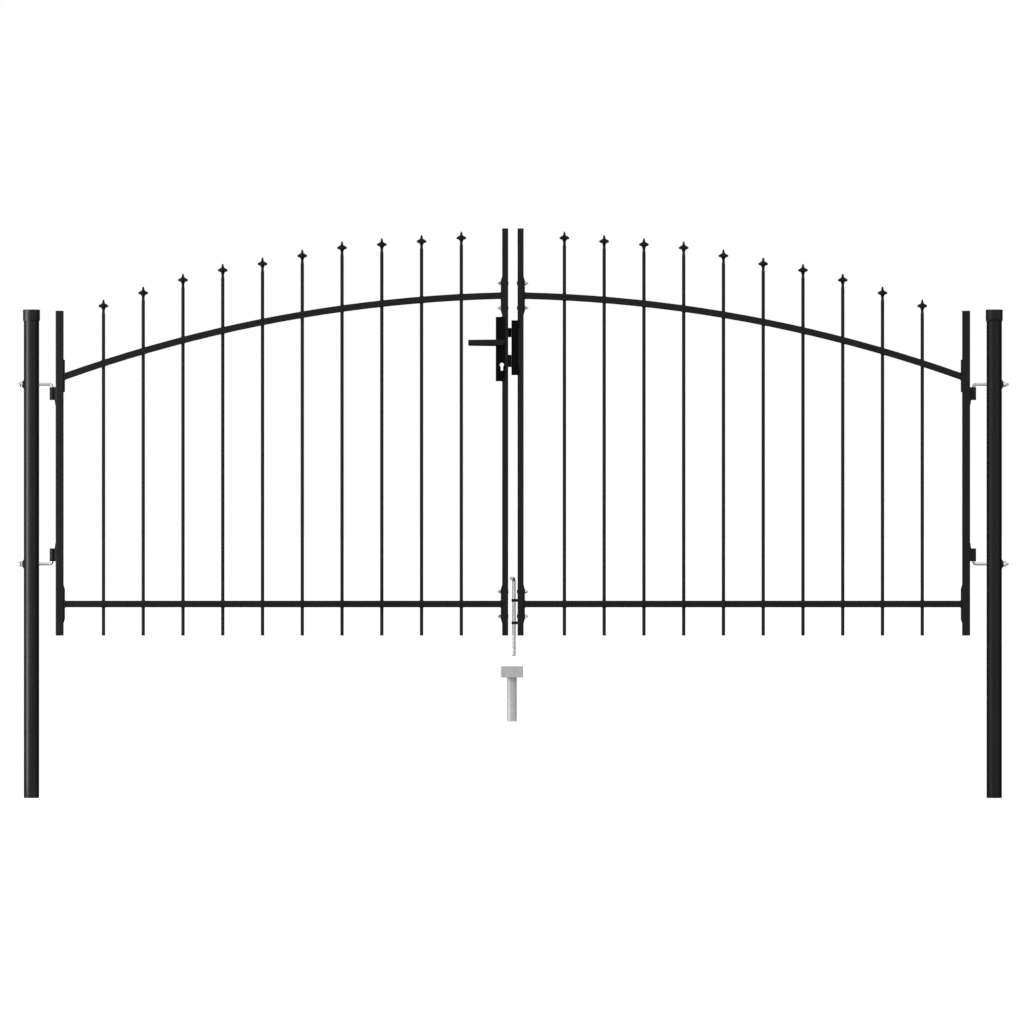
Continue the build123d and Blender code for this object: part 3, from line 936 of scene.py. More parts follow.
@dataclass(frozen=True)
class GalvanisedSheet(Finish):
    """Dull hot-dipped sheet with its spangle."""

    light: Colour
    dark: Colour
    roughness: float
    metallic: float = 0.45
    rubbed: Colour = (0.78, 0.78, 0.77)
    rub_radius: float = 0.0009
    rub_gain: float = 1.5
    spangle_scale: float = 170.0
    spangle_share: float = 0.45
    tone_scale: float = 14.0
    sheen_spread: Pair = (0.08, -0.06)
    relief: Relief = Relief(0.06, 0.0004, 0.001)

    def draw(self, sheet: NodeSheet, groups: EffectGroups) -> None:
        """Draw the crystals over a slow tone, and the rubbed edges.

        Args:
            sheet: The material's empty tree.
            groups: The shared effects.
        """
        crystal = groups.use(sheet, groups.spangle(), scale=self.spangle_scale)
        tone = groups.use(sheet, groups.tone(), scale=self.tone_scale)
        edge = groups.use(sheet, groups.edges(), radius=self.rub_radius, gain=self.rub_gain)
        slow = sheet.math("MULTIPLY", tone, 1 - self.spangle_share)
        mixed = sheet.math("ADD", sheet.math("MULTIPLY", crystal, self.spangle_share), slow)
        skin = sheet.blend(mixed, rgba(self.dark), rgba(self.light))
        low, high = (self.roughness + spread for spread in self.sheen_spread)
        principled(
            sheet, crystal, self.relief, Base_Color=sheet.blend(edge, skin, rgba(self.rubbed)),
            Roughness=sheet.remap(crystal, 0.0, 1.0, low, high), Metallic=self.metallic,
        )


class Finishes:
    """Every finish of the gate, by the record's slot."""

    def __init__(self) -> None:
        """Build all materials once."""
        groups = EffectGroups()
        makers = {
            Slot.FRAME: PowderCoat("frame_powder_coat", (0.0068, 0.0068, 0.0073), 0.36, 0.30),
            Slot.LOCK: PowderCoat("lock_powder_coat", (0.002, 0.002, 0.0022), 0.5, 0.08),
            Slot.LEVER: PowderCoat("lever_satin_coat", (0.004, 0.004, 0.0043), 0.34, 0.30, dust_amount=0.05),
            Slot.CAP: MouldedPlastic("moulded_cap_plastic", (0.006, 0.006, 0.0065), 0.38),
            Slot.ZINC: ZincPlate("bright_zinc_plate", (0.90, 0.905, 0.91), (0.74,) * 3, 0.13),
            Slot.GALVANISED: GalvanisedSheet("galvanised_sheet", (0.83,) * 3, (0.70,) * 3, 0.52),
            Slot.BOLT: PowderCoat("blackened_steel", (0.004, 0.004, 0.0045), 0.3, 0.11, dust_amount=0.0),
        }
        self.materials = {slot: maker.material(groups) for slot, maker in makers.items()}

    def dress_node(self, obj: bpy.types.Object) -> None:
        """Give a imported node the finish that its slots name."""
        for holder in obj.material_slots:
            holder.material = self.materials[Slot(holder.material.name)]


@dataclass(frozen=True)
class Workshop:
    """What every sub-assembly needs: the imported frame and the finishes."""

    frame: PackedFrame
    finishes: Finishes

    def piece(
        self, bm: bmesh.types.BMesh, name: str, body: str, slot: Slot,
        replaces: Sequence[str] = (), sharp: float = 35.0,
    ) -> bpy.types.Object:
        """Turn a shape into a finished piece that rides on a body.

        Args:
            bm: The shape, which is freed.
            name: Name of the piece.
            body: Body that it rides on.
            slot: Finish of the piece.
            replaces: Nodes that it stands for.
            sharp: Least angle of a hard edge, in degrees.

        Returns:
            The piece.
        """
        bmesh.ops.recalc_face_normals(bm, faces=bm.faces)
        mesh = bpy.data.meshes.new(name)
        bm.to_mesh(mesh)
        bm.free()
        mesh.shade_smooth()
        mesh.set_sharp_from_angle(angle=math.radians(sharp))
        mesh.materials.append(self.finishes.materials[slot])
        obj = bpy.data.objects.new(name, mesh)
        bpy.context.scene.collection.objects.link(obj)
        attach(obj, body)
        if replaces:
            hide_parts(*replaces)
        LOG.info("%s rides on %s with %d faces", name, body, len(mesh.polygons))
        return obj


@dataclass(frozen=True)
class PostCap:
    """The moulded cap of one post, with the round mark that the mould leaves on its top."""

    side: Side
    edge: float = 0.0022
    edge_steps: int = 5
    lip: float = 0.0008
    lip_share: float = 0.3
    rim_height: float = 0.008
    rim_in: float = 0.0025
    crown_thickness: float = 0.003
    post_play: float = 0.0002
    mark_radius: float = 0.0035
    mark_shares: tuple[float, float, float] = (1.6, 1.4, 0.6)
    mark_depth: float = 0.0006
    dish: float = 0.0001
    dish_share: float = 0.62
    steps: int = 64

    def build(self, shop: Workshop) -> None:
        """Build the cap of the post.

        Args:
            shop: The frame and the finishes.
        """
        span = shop.frame.span(self.side.node("post_cap"))
        radius, top, foot = span.size.x / 2, span.high.z, span.low.z
        bore = shop.frame.span(self.side.node("post")).size.x / 2 + self.post_play
        crown, rim_radius, rim_z = top - self.crown_thickness, radius - self.rim_in, foot + self.rim_height
        corner = []
        for i in range(self.edge_steps, -1, -1):
            turn = math.pi / 2 * i / self.edge_steps
            inset, drop = self.edge * (1 - math.sin(turn)), self.edge * (1 - math.cos(turn))
            corner.append((radius - inset, top - drop))
        dished, sunk, nub = top - self.dish, top - self.mark_depth, top - 2 * self.dish
        outer, inner, middle = (self.mark_radius * share for share in self.mark_shares)
        profile = [
            (0, crown), (bore, crown), (bore, foot + self.lip), (bore + self.lip, foot), (rim_radius, foot),
            (rim_radius + self.lip * self.lip_share, foot + self.lip),
            (radius, rim_z), (radius, rim_z + self.lip), *corner,
            (radius * self.dish_share, dished), (outer, dished), (inner, sunk),
            (self.mark_radius, sunk), (middle, nub), (0, nub),
        ]
        bm = bmesh.new()
        cap = lathe(profile, "cap_profile", self.steps)
        place(bm, cap, Matrix.Translation((span.middle.x, span.middle.y, 0)))
        shop.piece(bm, self.side.node("moulded_post_cap"), "posts", Slot.CAP, [self.side.node("post_cap")])


@dataclass(frozen=True)
class HookSet:
    """The two threaded hooks of one post, with their nuts and washers."""

    side: Side
    bend: float = 0.009
    end_chamfer: float = 0.001
    plain_reach: float = 0.024
    pin_cut: float = 0.0046
    thread: ScrewThread = ScrewThread(0.006, 0.00175)
    nut: HexNut = HexNut(0.019, 0.010, 0.0058)
    # How far the lower nut and the upper nut are turned.
    nut_rolls: Pair = (math.radians(21), math.radians(8))
    washer_thickness: float = 0.0025
    washer_radius: float = 0.0135
    washer_play: float = 0.0004
    washer_lip: float = 0.15
    washer_steps: int = 40
    core_sides: int = 20
    rod_sides: int = 24
    nut_sharp: float = 25.0

    def build(self, shop: Workshop) -> None:
        """Build the hooks and the nuts on them.

        Args:
            shop: The frame and the finishes.
        """
        inward, node = self.side.inward, self.side.node
        hooks = shop.frame.groups(node("hinge_hooks"), 2, HINGE_GAP)
        nuts = shop.frame.groups(node("hook_nuts"), 2, HINGE_GAP)
        post_x = shop.frame.span(node("post")).middle.x
        rods, fittings = bmesh.new(), bmesh.new()
        nut, washer = self.nut.mesh("hook_nut"), self._washer()
        for upper in (True, False):
            hook, fitting = hooks[upper], nuts[upper]
            radius = hook.size.y / 2
            rod_z = hook.high.z - radius if upper else hook.low.z + radius
            pin_end = hook.low.z + self.pin_cut if upper else hook.high.z - self.pin_cut
            tip_x, pin_x = hook.end(-inward), hook.end(inward) - inward * radius
            tip, corner = Vector((tip_x, 0, rod_z)), Vector((pin_x, 0, rod_z))
            thread_end = Vector((post_x + inward * self.plain_reach, 0, rod_z))
            self._rod(rods, tip, thread_end, corner, Vector((pin_x, 0, pin_end)), radius)
            outside = fitting.end(inward)
            place(fittings, washer, aim(Vector((outside, 0, rod_z)), X * -inward))
            seat = Vector((outside - inward * self.washer_thickness, 0, rod_z))
            place(fittings, nut, aim(seat, X * -inward, self.nut_rolls[upper]))
        shop.piece(rods, node("threaded_hooks"), "posts", Slot.ZINC, [node("hinge_hooks")])
        shop.piece(
            fittings, node("nuts_and_washers"), "posts", Slot.ZINC, [node("hook_nuts")], self.nut_sharp
        )

    def _washer(self) -> bpy.types.Mesh:
        """Spin a washer with softened rims.

        Returns:
            The washer, from local Z = 0 up to its thickness.
        """
        bore, outer, thick = self.thread.radius + self.washer_play, self.washer_radius, self.washer_thickness
        lip = thick * self.washer_lip
        profile = [
            (bore, 0), (outer - lip, 0), (outer, lip),
            (outer, thick - lip), (outer - lip, thick), (bore, thick),
        ]
        return lathe(profile, "hook_washer", self.washer_steps)

    def _rod(
        self, bm: bmesh.types.BMesh, tip: Vector, thread_end: Vector, corner: Vector,
        pin_end: Vector, radius: float,
    ) -> None:
        """Draw one hook: a threaded core, a plain shank with its bend, and the pin.

        Args:
            bm: The shape that gets the hook.
            tip: Outer end of the thread.
            thread_end: Where the thread runs out.
            corner: Where shank and pin would cross.
            pin_end: End of the pin.
            radius: Radius of shank and pin.
        """
        ahead = (corner - tip).normalized()
        core, start = self.thread.core, tip + ahead * self.end_chamfer
        sweep(bm, [tip, start, thread_end], [core - self.end_chamfer, core, core], self.core_sides)
        self.thread.wind(bm, start, ahead, (thread_end - tip).length - self.end_chamfer)
        bend = bent_path(thread_end, corner, pin_end, self.bend)
        back = (bend[-2] - pin_end).normalized() * self.end_chamfer
        path = [thread_end - ahead * self.end_chamfer, *bend[:-1], pin_end + back, pin_end]
        radii = [core] + [radius] * (len(path) - 2) + [radius - self.end_chamfer]
        sweep(bm, path, radii, self.rod_sides)


@dataclass(frozen=True)
class SpearCasting:
    """A cast spear point: conical collar, round neck, four barbed arms and a spike."""

    voxel: float = 0.0006
    softening: float = 0.5
    soft_rounds: int = 4
    keep_faces: float = 0.3
    round_sides: int = 32
    collar_height: float = 0.011
    collar_overlap: float = 0.9
    neck: float = 0.0115
    waist: float = 0.0134
    shoulder_z: float = 0.050
    shoulder: float = 0.0108
    point: float = 0.0048
    arm_z: float = 0.0345
    arm_thickness: float = 0.0072
    # Outline of one arm, out from the spear's axis and up from the arms' middle.
    barb: tuple[Pair, ...] = (
        (0.0, -0.017), (0.0058, -0.017), (0.0072, -0.0115), (0.0088, -0.0078), (0.0120, -0.0060),
        (0.0160, -0.0055), (0.0192, -0.0030), (0.0207, 0.0), (0.0192, 0.0030), (0.0160, 0.0055),
        (0.0068, 0.0106), (0.0, 0.0106),
    )

    def mesh(self, height: float, bar_radius: float) -> bpy.types.Mesh:
        """Fuse the parts of the casting and soften where they meet.

        Args:
            height: Height of the spear point.
            bar_radius: Radius of the bar under it.

        Returns:
            The casting, with its foot at the origin.
        """
        bm = bmesh.new()
        diagonal = math.sqrt(0.5)
        neck, neck_foot = self.neck / 2, self.collar_height * self.collar_overlap
        for low, high, low_radius, high_radius, sides in (
            (0.0, self.collar_height, bar_radius, neck, self.round_sides),
            (neck_foot, self.arm_z, neck, neck, self.round_sides),
            (self.arm_z, self.shoulder_z, self.waist * diagonal, self.shoulder * diagonal, 4),
            (self.shoulder_z, height, self.shoulder * diagonal, self.point * diagonal, 4),
        ):
            turned = Matrix.Translation(Z * ((low + high) / 2)) @ Matrix.Rotation(math.pi / 4, 4, "Z")
            bmesh.ops.create_cone(
                bm, cap_ends=True, segments=sides, radius1=low_radius, radius2=high_radius,
                depth=high - low, matrix=turned,
            )
        for turn in (0.0, math.pi / 2):
            self._arms(bm, turn)
        bmesh.ops.recalc_face_normals(bm, faces=bm.faces)
        raw = bpy.data.meshes.new("spear_parts")
        bm.to_mesh(raw)
        bm.free()
        return self._fused(raw)

    def _arms(self, bm: bmesh.types.BMesh, turn: float) -> None:
        """Extrude one pair of barbed arms across the spear.

        Args:
            bm: The shape that gets the arms.
            turn: Turn of the pair about the spear.
        """
        right = [Vector((x, -self.arm_thickness / 2, self.arm_z + z)) for x, z in self.barb]
        left = [Vector((-p.x, p.y, p.z)) for p in reversed(right[1:-1])]
        face = bm.faces.new(new_verts(bm, right + left))
        made = bmesh.ops.extrude_face_region(bm, geom=[face])["geom"]
        moved = [item for item in made if isinstance(item, bmesh.types.BMVert)]
        bmesh.ops.translate(bm, verts=moved, vec=Y * self.arm_thickness)
        turned = Matrix.Rotation(turn, 3, "Z")
        bmesh.ops.rotate(bm, verts=moved + list(face.verts), cent=(0, 0, 0), matrix=turned)

    def _fused(self, raw: bpy.types.Mesh) -> bpy.types.Mesh:
        """Remesh the crossing parts into one skin, smooth it and thin its faces.

        Args:
            raw: The parts, crossing one another.

        Returns:
            The finished casting.
        """
        obj = bpy.data.objects.new("spear_casting", raw)
        bpy.context.scene.collection.objects.link(obj)
        remesh = obj.modifiers.new("skin", "REMESH")
        remesh.mode = "VOXEL"
        remesh.voxel_size = self.voxel
        smooth = obj.modifiers.new("soften", "SMOOTH")
        smooth.factor = self.softening
        smooth.iterations = self.soft_rounds
        thin = obj.modifiers.new("thin", "DECIMATE")
        thin.ratio = self.keep_faces
        graph = bpy.context.evaluated_depsgraph_get()
        mesh = bpy.data.meshes.new_from_object(obj.evaluated_get(graph))
        bpy.data.objects.remove(obj)
        return mesh


@dataclass(frozen=True)
class LeafDressing:
    """The spear points of one leaf, and what the welder and the fitter add to it."""

    side: Side
    casting: SpearCasting = SpearCasting()
    spear_sharp: float = 60.0
    bead: WeldBead = WeldBead()
    ring_bead: WeldBead = WeldBead(0.0017)
    # Where stitches start, and how long they are, as shares of the plate's height from its middle.
    stitch_starts: Pair = (-0.36, 0.22)
    stitch_share: float = 0.14
    plate_reach: float = 0.02
    pad_inset: float = 0.004
    bolt_reach: float = 0.0505
    bolt_thread: ScrewThread = ScrewThread(0.004, 0.00125, 12)
    bolt_nut: HexNut = HexNut(0.013, 0.0065, 0.0039, 36)
    bolt_tip: float = 0.0135
    bolt_sides: int = 16
    tip_length: float = 0.0008
    tip_cut: float = 0.0006
    # Turn of a nut for each metre of its height on the stile, so that no two sit alike.
    nut_roll_rate: float = 40.0
    nut_sharp: float = 28.0
    head_radius: float = 0.0085
    left_head_rise: float = 0.0012
    right_head_rise: float = 0.0030

    def build(self, shop: Workshop) -> None:
        """Build the leaf's spear points, welds and bolts.

        Args:
            shop: The frame and the finishes.
        """
        bars = shop.frame.groups(self.side.node("bars"), 0, BAR_GAP)
        arch = Arch.of_rail(shop.frame, self.side.node("arch_rail"))
        self._spears(shop, bars)
        self._bar_welds(shop, bars, arch)
        self._rail_welds(shop, arch)
        self._hinge_welds(shop)
        self._bolts(shop, arch)

    def _spears(self, shop: Workshop, bars: Sequence[Span]) -> None:
        """Set a casting on the head of each bar.

        Args:
            shop: The frame and the finishes.
            bars: Boxes of the bars.
        """
        node = self.side.node("spear_tips")
        shortest = min(bars, key=lambda bar: bar.high.z)
        lowest_tip = min(tip.high.z for tip in shop.frame.groups(node, 0, BAR_GAP))
        casting = self.casting.mesh(lowest_tip - shortest.high.z, shortest.size.x / 2)
        bm = bmesh.new()
        for bar in bars:
            place(bm, casting, Matrix.Translation((bar.middle.x, 0, bar.high.z)))
        shop.piece(bm, self.side.node("cast_spears"), self.side.leaf, Slot.FRAME, [node], self.spear_sharp)

    def _bar_welds(self, shop: Workshop, bars: Sequence[Span], arch: Arch) -> None:
        """Lay a ring of weld round each bar, above and below both rails.

        Args:
            shop: The frame and the finishes.
            bars: Boxes of the bars.
            arch: The arched rail's upper surface.
        """
        rail = shop.frame.span(self.side.node("bottom_rail"))
        bm = bmesh.new()
        for bar in bars:
            x, radius = bar.middle.x, bar.size.x / 2
            for z in (rail.low.z, rail.high.z):
                self.ring_bead.ring(bm, Vector((x, 0, z)), radius)
            for inset in (0.0, rail.size.z):
                self.ring_bead.ring(bm, Vector((x, 0, arch.height(x, inset))), radius, arch.slope(x))
        shop.piece(bm, self.side.node("bar_welds"), self.side.leaf, Slot.FRAME, sharp=WELD_SHARP)

    def _rail_welds(self, shop: Workshop, arch: Arch) -> None:
        """Lay beads round the ends of both rails and along the plates on the hinge stile.

        Args:
            shop: The frame and the finishes.
            arch: The arched rail's upper surface.
        """
        bm = bmesh.new()
        lower = shop.frame.span(self.side.node("bottom_rail"))
        upper = shop.frame.span(self.side.node("arch_rail"))
        half = lower.size.y / 2
        for rail in (lower, upper):
            for x in (rail.low.x, rail.high.x):
                top = lower.high.z if rail is lower else arch.height(x)
                foot = lower.low.z if rail is lower else arch.height(x, lower.size.z)
                loop = ((-half, foot), (half, foot), (half, top), (-half, top), (-half, foot))
                self.bead.lay(bm, [Vector((x, y, z)) for y, z in loop])
        face = shop.frame.span(self.side.node("hinge_stile")).end(self.side.inward)
        for column in shop.frame.groups(self.side.node("end_plates"), 0, STILE_GAP):
            if abs(column.middle.x - face) < self.plate_reach:
                self._plate_stitches(bm, shop, column, face)
        shop.piece(bm, self.side.node("rail_welds"), self.side.leaf, Slot.FRAME, sharp=WELD_SHARP)

    def _plate_stitches(self, bm: bmesh.types.BMesh, shop: Workshop, column: Span, face: float) -> None:
        """Lay stitches down both edges of the plates on the hinge stile.

        Args:
            bm: The shape that gets the stitches.
            shop: The frame and the finishes.
            column: Box round the plates on this stile.
            face: X of the stile's face under them.
        """
        for plate in shop.frame.groups(self.side.node("end_plates"), 2, PLATE_GAP):
            if not column.low.z - CLOSE <= plate.middle.z <= column.high.z + CLOSE:
                continue
            length = plate.size.z
            for y in (column.low.y, column.high.y):
                for share in self.stitch_starts:
                    z = plate.middle.z + share * length
                    end = Vector((face, y, z + self.stitch_share * length))
                    self.bead.lay(bm, [Vector((face, y, z)), end])

    def _hinge_welds(self, shop: Workshop) -> None:
        """Lay beads down the pads of both knuckles.

        Args:
            shop: The frame and the finishes.
        """
        bm = bmesh.new()
        face = shop.frame.span(self.side.node("hinge_stile")).end(-self.side.inward)
        for knuckle in shop.frame.groups(self.side.node("hinge_knuckles"), 2, HINGE_GAP):
            for y in (knuckle.low.y, knuckle.high.y):
                low = Vector((face, y, knuckle.low.z + self.pad_inset))
                high = Vector((face, y, knuckle.high.z - self.pad_inset))
                self.bead.lay(bm, [low, high])
        shop.piece(bm, self.side.node("hinge_welds"), self.side.leaf, Slot.FRAME, sharp=WELD_SHARP)

    def _bolts(self, shop: Workshop, arch: Arch) -> None:
        """Put two bolts through each plate on the meeting stile.

        Args:
            shop: The frame and the finishes.
            arch: The arched rail's upper surface.
        """
        inward = self.side.inward
        ahead = X * -inward
        stile = shop.frame.span(self.side.node("meeting_stile"))
        rail = shop.frame.span(self.side.node("bottom_rail"))
        rise = self.left_head_rise if self.side is Side.LEFT else self.right_head_rise
        head, nut = dome(self.head_radius, rise, "bolt_head"), self.bolt_nut.mesh("bolt_nut")
        core, threaded = self.bolt_thread.core, self.bolt_tip - self.tip_length
        shanks, heads = bmesh.new(), bmesh.new()
        for middle in (rail.middle.z, arch.height(stile.end(-inward), rail.size.z / 2)):
            for z in (middle - self.bolt_reach, middle + self.bolt_reach):
                place(heads, head, aim(Vector((stile.end(inward), 0, z)), X * inward))
                seat = Vector((rail.end(inward), 0, z))
                place(shanks, nut, aim(seat, ahead, z * self.nut_roll_rate))
                path = [seat, seat + ahead * threaded, seat + ahead * self.bolt_tip]
                sweep(shanks, path, [core, core, core - self.tip_cut], self.bolt_sides)
                self.bolt_thread.wind(shanks, seat, ahead, threaded)
        shop.piece(heads, self.side.node("coated_bolt_heads"), self.side.leaf, Slot.FRAME)
        shop.piece(
            shanks, self.side.node("flange_bolts"), self.side.leaf, Slot.ZINC, sharp=self.nut_sharp
        )


@dataclass(frozen=True)
class LockDressing:
    """Screws of the lock covers and of the keeper, noses of the two bolts, and welds of the case."""

    cover_inset: float = 0.010
    ear_inset: float = 0.0165
    ear_screw_scale: float = 0.8
    screw_radius: float = 0.0042
    screw_rise: float = 0.0011
    screw_curve: tuple[Pair, ...] = ((1.0, 0.0), (1.0, 0.35), (0.8, 0.85), (0.55, 1.0))
    screw_steps: int = 24
    socket_radius: float = 0.0017
    socket_taper: float = 0.95
    socket_floor: float = 0.2
    nose_gap: float = 0.0001
    nose_depth: float = 0.0006
    bead: WeldBead = WeldBead(0.0018)
    stitch: float = 0.022
    foot_inset: float = 0.03
    head_inset: float = 0.05

    def build(self, shop: Workshop) -> None:
        """Build the screws, the bolts' noses and the lock's welds.

        Args:
            shop: The frame and the finishes.
        """
        covers, keeper = shop.frame.span("lock_covers"), shop.frame.span("keeper")
        stile = shop.frame.span("right_meeting_stile")
        ear_x = (stile.low.x + keeper.high.x) / 2
        cover_screws = self._screws(covers, covers.middle.x, self.cover_inset)
        shop.piece(cover_screws, "cover_screws", Side.LEFT.leaf, Slot.LOCK)
        keeper_screws = self._screws(keeper, ear_x, self.ear_inset, self.ear_screw_scale)
        shop.piece(keeper_screws, "keeper_screws", Side.RIGHT.leaf, Slot.LOCK)
        self._case_welds(shop)
        self._noses(shop, "latch_bolt", "latch", "sprung_latch")
        self._noses(shop, "dead_bolt", "deadlock", "thrown_dead_bolt")

    def _screws(self, span: Span, x: float, inset: float, scale: float = 1.0) -> bmesh.types.BMesh:
        """Drive two button heads with sockets into each face of a box.

        Args:
            span: The box.
            x: Place of the screws along X.
            inset: Distance of the screws from the box's ends.
            scale: Size of the screws.

        Returns:
            The four heads.
        """
        socket, depth = self.socket_radius, self.screw_rise * self.socket_floor
        curve = [(self.screw_radius * out, self.screw_rise * up) for out, up in self.screw_curve]
        hollow = [(socket, self.screw_rise), (socket * self.socket_taper, depth), (0, depth)]
        screw = lathe([(0, 0), *curve, *hollow], "cover_screw", self.screw_steps)
        bm = bmesh.new()
        for y, out in ((span.low.y, -Y), (span.high.y, Y)):
            for z in (span.low.z + inset, span.high.z - inset):
                place(bm, screw, aim(Vector((x, y, z)), out) @ Matrix.Scale(scale, 4))
        return bm

    def _noses(self, shop: Workshop, node: str, body: str, name: str) -> None:
        """Draw a bolt out until its nose all but touches the keeper.

        Args:
            shop: The frame and the finishes.
            node: Name of the bolt's node.
            body: Body that it slides on.
            name: Name of the new piece.
        """
        keeper = shop.frame.span("keeper")
        end = shop.frame.span(node).high.x
        bm = bmesh.new()
        bm.from_mesh(shop.frame.nodes[node].data)
        close_shell(bm)
        for vert in bm.verts:
            if vert.co.x > end - self.nose_depth:
                vert.co.x += keeper.low.x - self.nose_gap - end
        shop.piece(bm, name, body, Slot.BOLT, [node])

    def _case_welds(self, shop: Workshop) -> None:
        """Lay beads where the case is let into the stile.

        Args:
            shop: The frame and the finishes.
        """
        case = shop.frame.span("lock_case")
        stile = shop.frame.span("left_meeting_stile")
        front, back, face = stile.low.y, stile.high.y, case.high.x
        bm = bmesh.new()
        for z in (case.low.z, case.high.z):
            loop = ((face, front), (stile.low.x, front), (stile.low.x, back), (face, back))
            self.bead.lay(bm, [Vector((x, y, z)) for x, y in loop])
        for y in (front, back):
            for z in (case.low.z + self.foot_inset, case.middle.z, case.high.z - self.head_inset):
                self.bead.lay(bm, [Vector((face, y, z)), Vector((face, y, z + self.stitch))])
        shop.piece(bm, "lock_case_welds", Side.LEFT.leaf, Slot.FRAME, sharp=WELD_SHARP)


@dataclass(frozen=True)
class DropRodDressing:
    """Welds of the drop rod's guides."""

    web_half: float = 0.005
    bead: WeldBead = WeldBead(0.0016)

    def build(self, shop: Workshop) -> None:
        """Build the welds.

        Args:
            shop: The frame and the finishes.
        """
        face = shop.frame.span("right_meeting_stile").low.x
        bm = bmesh.new()
        for guide in shop.frame.groups("drop_rod_guides", 2, GUIDE_GAP):
            for y in (-self.web_half, self.web_half):
                self.bead.lay(bm, [Vector((face, y, guide.low.z)), Vector((face, y, guide.high.z))])
        shop.piece(bm, "guide_welds", Side.RIGHT.leaf, Slot.FRAME, sharp=WELD_SHARP)


@dataclass(frozen=True)
class Glow:
    """What shiny surfaces mirror on one side, rising to a level between two marks along an axis."""

    axis: str
    start: float
    full: float
    level: float = 1.0

    def seen(self, sheet: NodeSheet, way: bpy.types.NodeOutputs) -> Socket:
        """Draw the glow over the three parts of the way that a ray goes."""
        return sheet.remap(way[self.axis], self.start, self.full, 0.0, self.level)


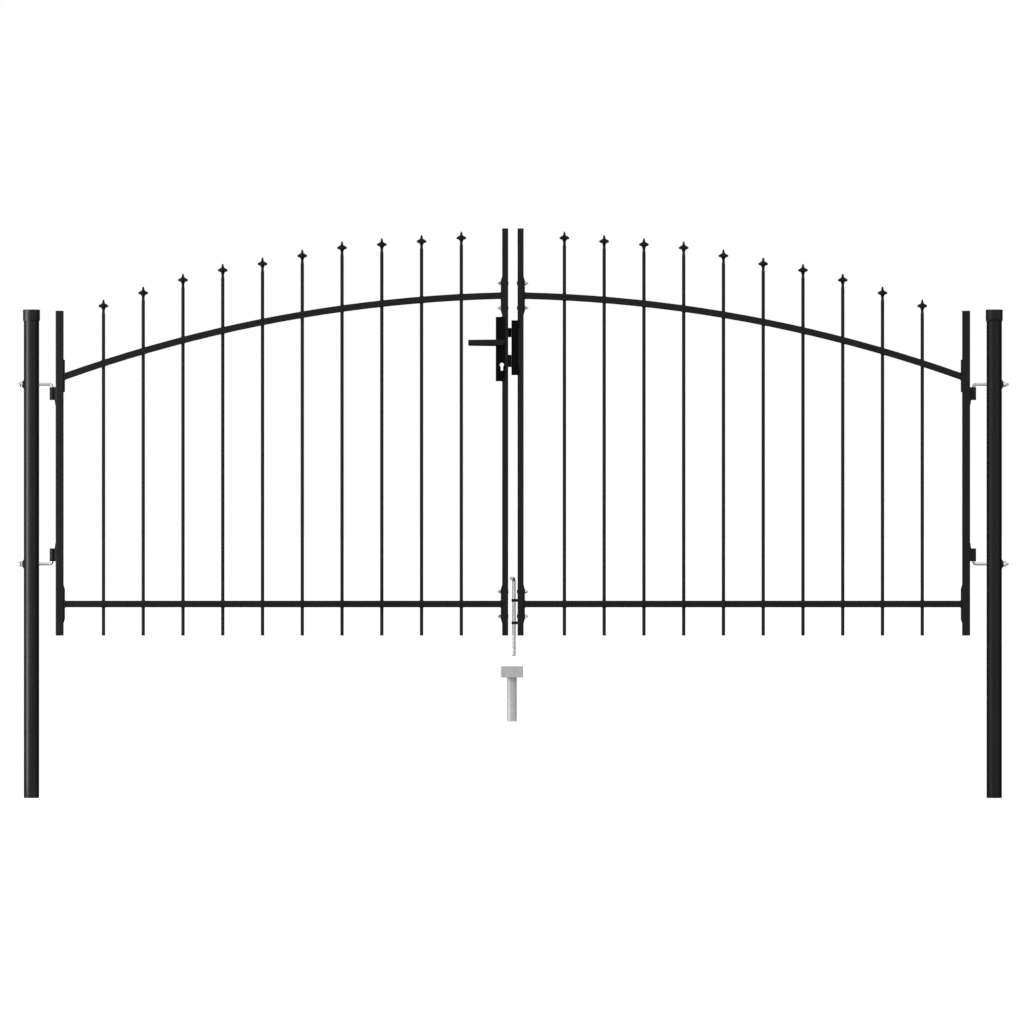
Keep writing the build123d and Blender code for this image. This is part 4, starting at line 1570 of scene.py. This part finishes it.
@dataclass(frozen=True)
class Studio:
    """Floor, soft box, surroundings and camera."""

    # X and Z at the middle of the picture.
    view_middle: Pair = (1.96496, 1.1692)
    view_half_width: float = 2.0938
    distance: float = 40.0
    sensor: float = 36.0
    floor_reach: float = 400.0
    floor_glow: float = 0.8
    floor_grey: float = 0.35
    box_spot: Place = (-0.46, -0.195, 1.05)
    box_goal: Place = (0.0, 0.0, 1.05)
    box_size: Pair = (0.31, 2.4)
    box_power: float = 18.0
    left_flank: Glow = Glow("X", -0.55, -0.85, 1.9)
    right_flank: Glow = Glow("X", 0.55, 0.8, 0.3)
    front: Glow = Glow("Y", -0.05, -0.4)
    front_level: float = 0.86
    rear: Glow = Glow("Y", 0.2, 0.6, 0.2)
    far_rear: Glow = Glow("Y", 0.94, 0.985)
    sky: Glow = Glow("Z", 0.45, 0.85, 0.2)
    everywhere: float = 0.03
    soft_light: float = 0.75

    def build(self) -> None:
        """Build everything that isn't the gate."""
        bpy.context.scene.view_settings.view_transform = "Standard"
        self._camera()
        self._floor()
        self._soft_box()
        self._surroundings()

    def _camera(self) -> None:
        """Set the camera far off, level, square to the gate."""
        data = bpy.data.cameras.new("view")
        data.sensor_width = self.sensor
        data.lens = self.distance * self.sensor / (2 * self.view_half_width)
        data.clip_start = 1.0
        data.clip_end = 2 * self.floor_reach
        camera = bpy.data.objects.new("view", data)
        camera.location = (self.view_middle[0], -self.distance, self.view_middle[1])
        camera.rotation_euler = (math.pi / 2, 0, 0)
        bpy.context.scene.collection.objects.link(camera)
        bpy.context.scene.camera = camera

    def _floor(self) -> None:
        """Lay a wide pale floor that shows white and keeps shadows."""
        bm = bmesh.new()
        bmesh.ops.create_grid(bm, x_segments=1, y_segments=1, size=self.floor_reach)
        mesh = bpy.data.meshes.new("floor")
        bm.to_mesh(mesh)
        bm.free()
        material, sheet = new_sheet("pale_floor")
        path = sheet.add("LightPath").outputs
        seen = sheet.math("ADD", path["Is Camera Ray"], path["Is Transmission Ray"], clamp=True)
        glow = sheet.add("Emission", {"Strength": sheet.math("MULTIPLY", seen, self.floor_glow)})
        matt = sheet.add("BsdfDiffuse", {"Color": rgba((self.floor_grey,) * 3)})
        both = sheet.add("AddShader", {0: glow.outputs[0], 1: matt.outputs[0]})
        sheet.add("OutputMaterial", {"Surface": both.outputs[0]})
        mesh.materials.append(material)
        floor = bpy.data.objects.new("floor", mesh)
        bpy.context.scene.collection.objects.link(floor)

    def _soft_box(self) -> None:
        """Hang a tall soft box close to the left post."""
        data = bpy.data.lights.new("left_box", "AREA")
        data.shape = "RECTANGLE"
        data.size, data.size_y = self.box_size
        data.energy = self.box_power
        lamp = bpy.data.objects.new("left_box", data)
        lamp.location = self.box_spot
        ahead = Vector(self.box_goal) - Vector(self.box_spot)
        lamp.rotation_euler = ahead.to_track_quat("-Z", "Y").to_euler()
        bpy.context.scene.collection.objects.link(lamp)

    def _surroundings(self) -> None:
        """Surround the gate with white, and with other levels where shiny surfaces mirror them."""
        world = bpy.data.worlds.new("studio")
        bpy.context.scene.world = world
        world.use_nodes = True
        sheet = NodeSheet(world.node_tree)
        path = sheet.add("LightPath").outputs
        way = sheet.add("SeparateXYZ", {0: sheet.add("TexCoord").outputs["Generated"]}).outputs
        flanks = sheet.math("ADD", self.left_flank.seen(sheet, way), self.right_flank.seen(sheet, way))
        lit_flanks = sheet.math("ADD", flanks, self.front_level)
        ahead = sheet.math("MULTIPLY", self.front.seen(sheet, way), lit_flanks)
        behind = sheet.math("MAXIMUM", self.far_rear.seen(sheet, way), self.rear.seen(sheet, way))
        all_round = sheet.math("MAXIMUM", ahead, behind)
        with_sky = sheet.math("ADD", all_round, self.sky.seen(sheet, way))
        mirrored = sheet.math("ADD", with_sky, self.everywhere)
        glossy = sheet.math("ADD", path["Is Glossy Ray"], path["Is Transmission Ray"], clamp=True)
        soft = sheet.math("MULTIPLY", sheet.math("SUBTRACT", 1.0, glossy), self.soft_light)
        lit = sheet.math("ADD", soft, sheet.math("MULTIPLY", glossy, mirrored))
        seen = path["Is Camera Ray"]
        level = sheet.math("ADD", sheet.math("MULTIPLY", sheet.math("SUBTRACT", 1.0, seen), lit), seen)
        glow = sheet.add("Background", {"Color": (1.0, 1.0, 1.0, 1.0), "Strength": level})
        sheet.add("OutputWorld", {"Surface": glow.outputs[0]})


def main() -> None:
    """Load the frame, dress it, add what CAD leaves out and set the studio."""
    logging.basicConfig(level=logging.INFO, format="%(name)s: %(message)s")
    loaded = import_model()
    frame = PackedFrame(loaded["nodes"])
    shop = Workshop(frame, Finishes())
    Studio().build()
    for node in frame.nodes.values():
        shop.finishes.dress_node(node)
    for side in Side:
        PostCap(side).build(shop)
        HookSet(side).build(shop)
        LeafDressing(side).build(shop)
    LockDressing().build(shop)
    DropRodDressing().build(shop)


if __name__ == "__main__":
    main()
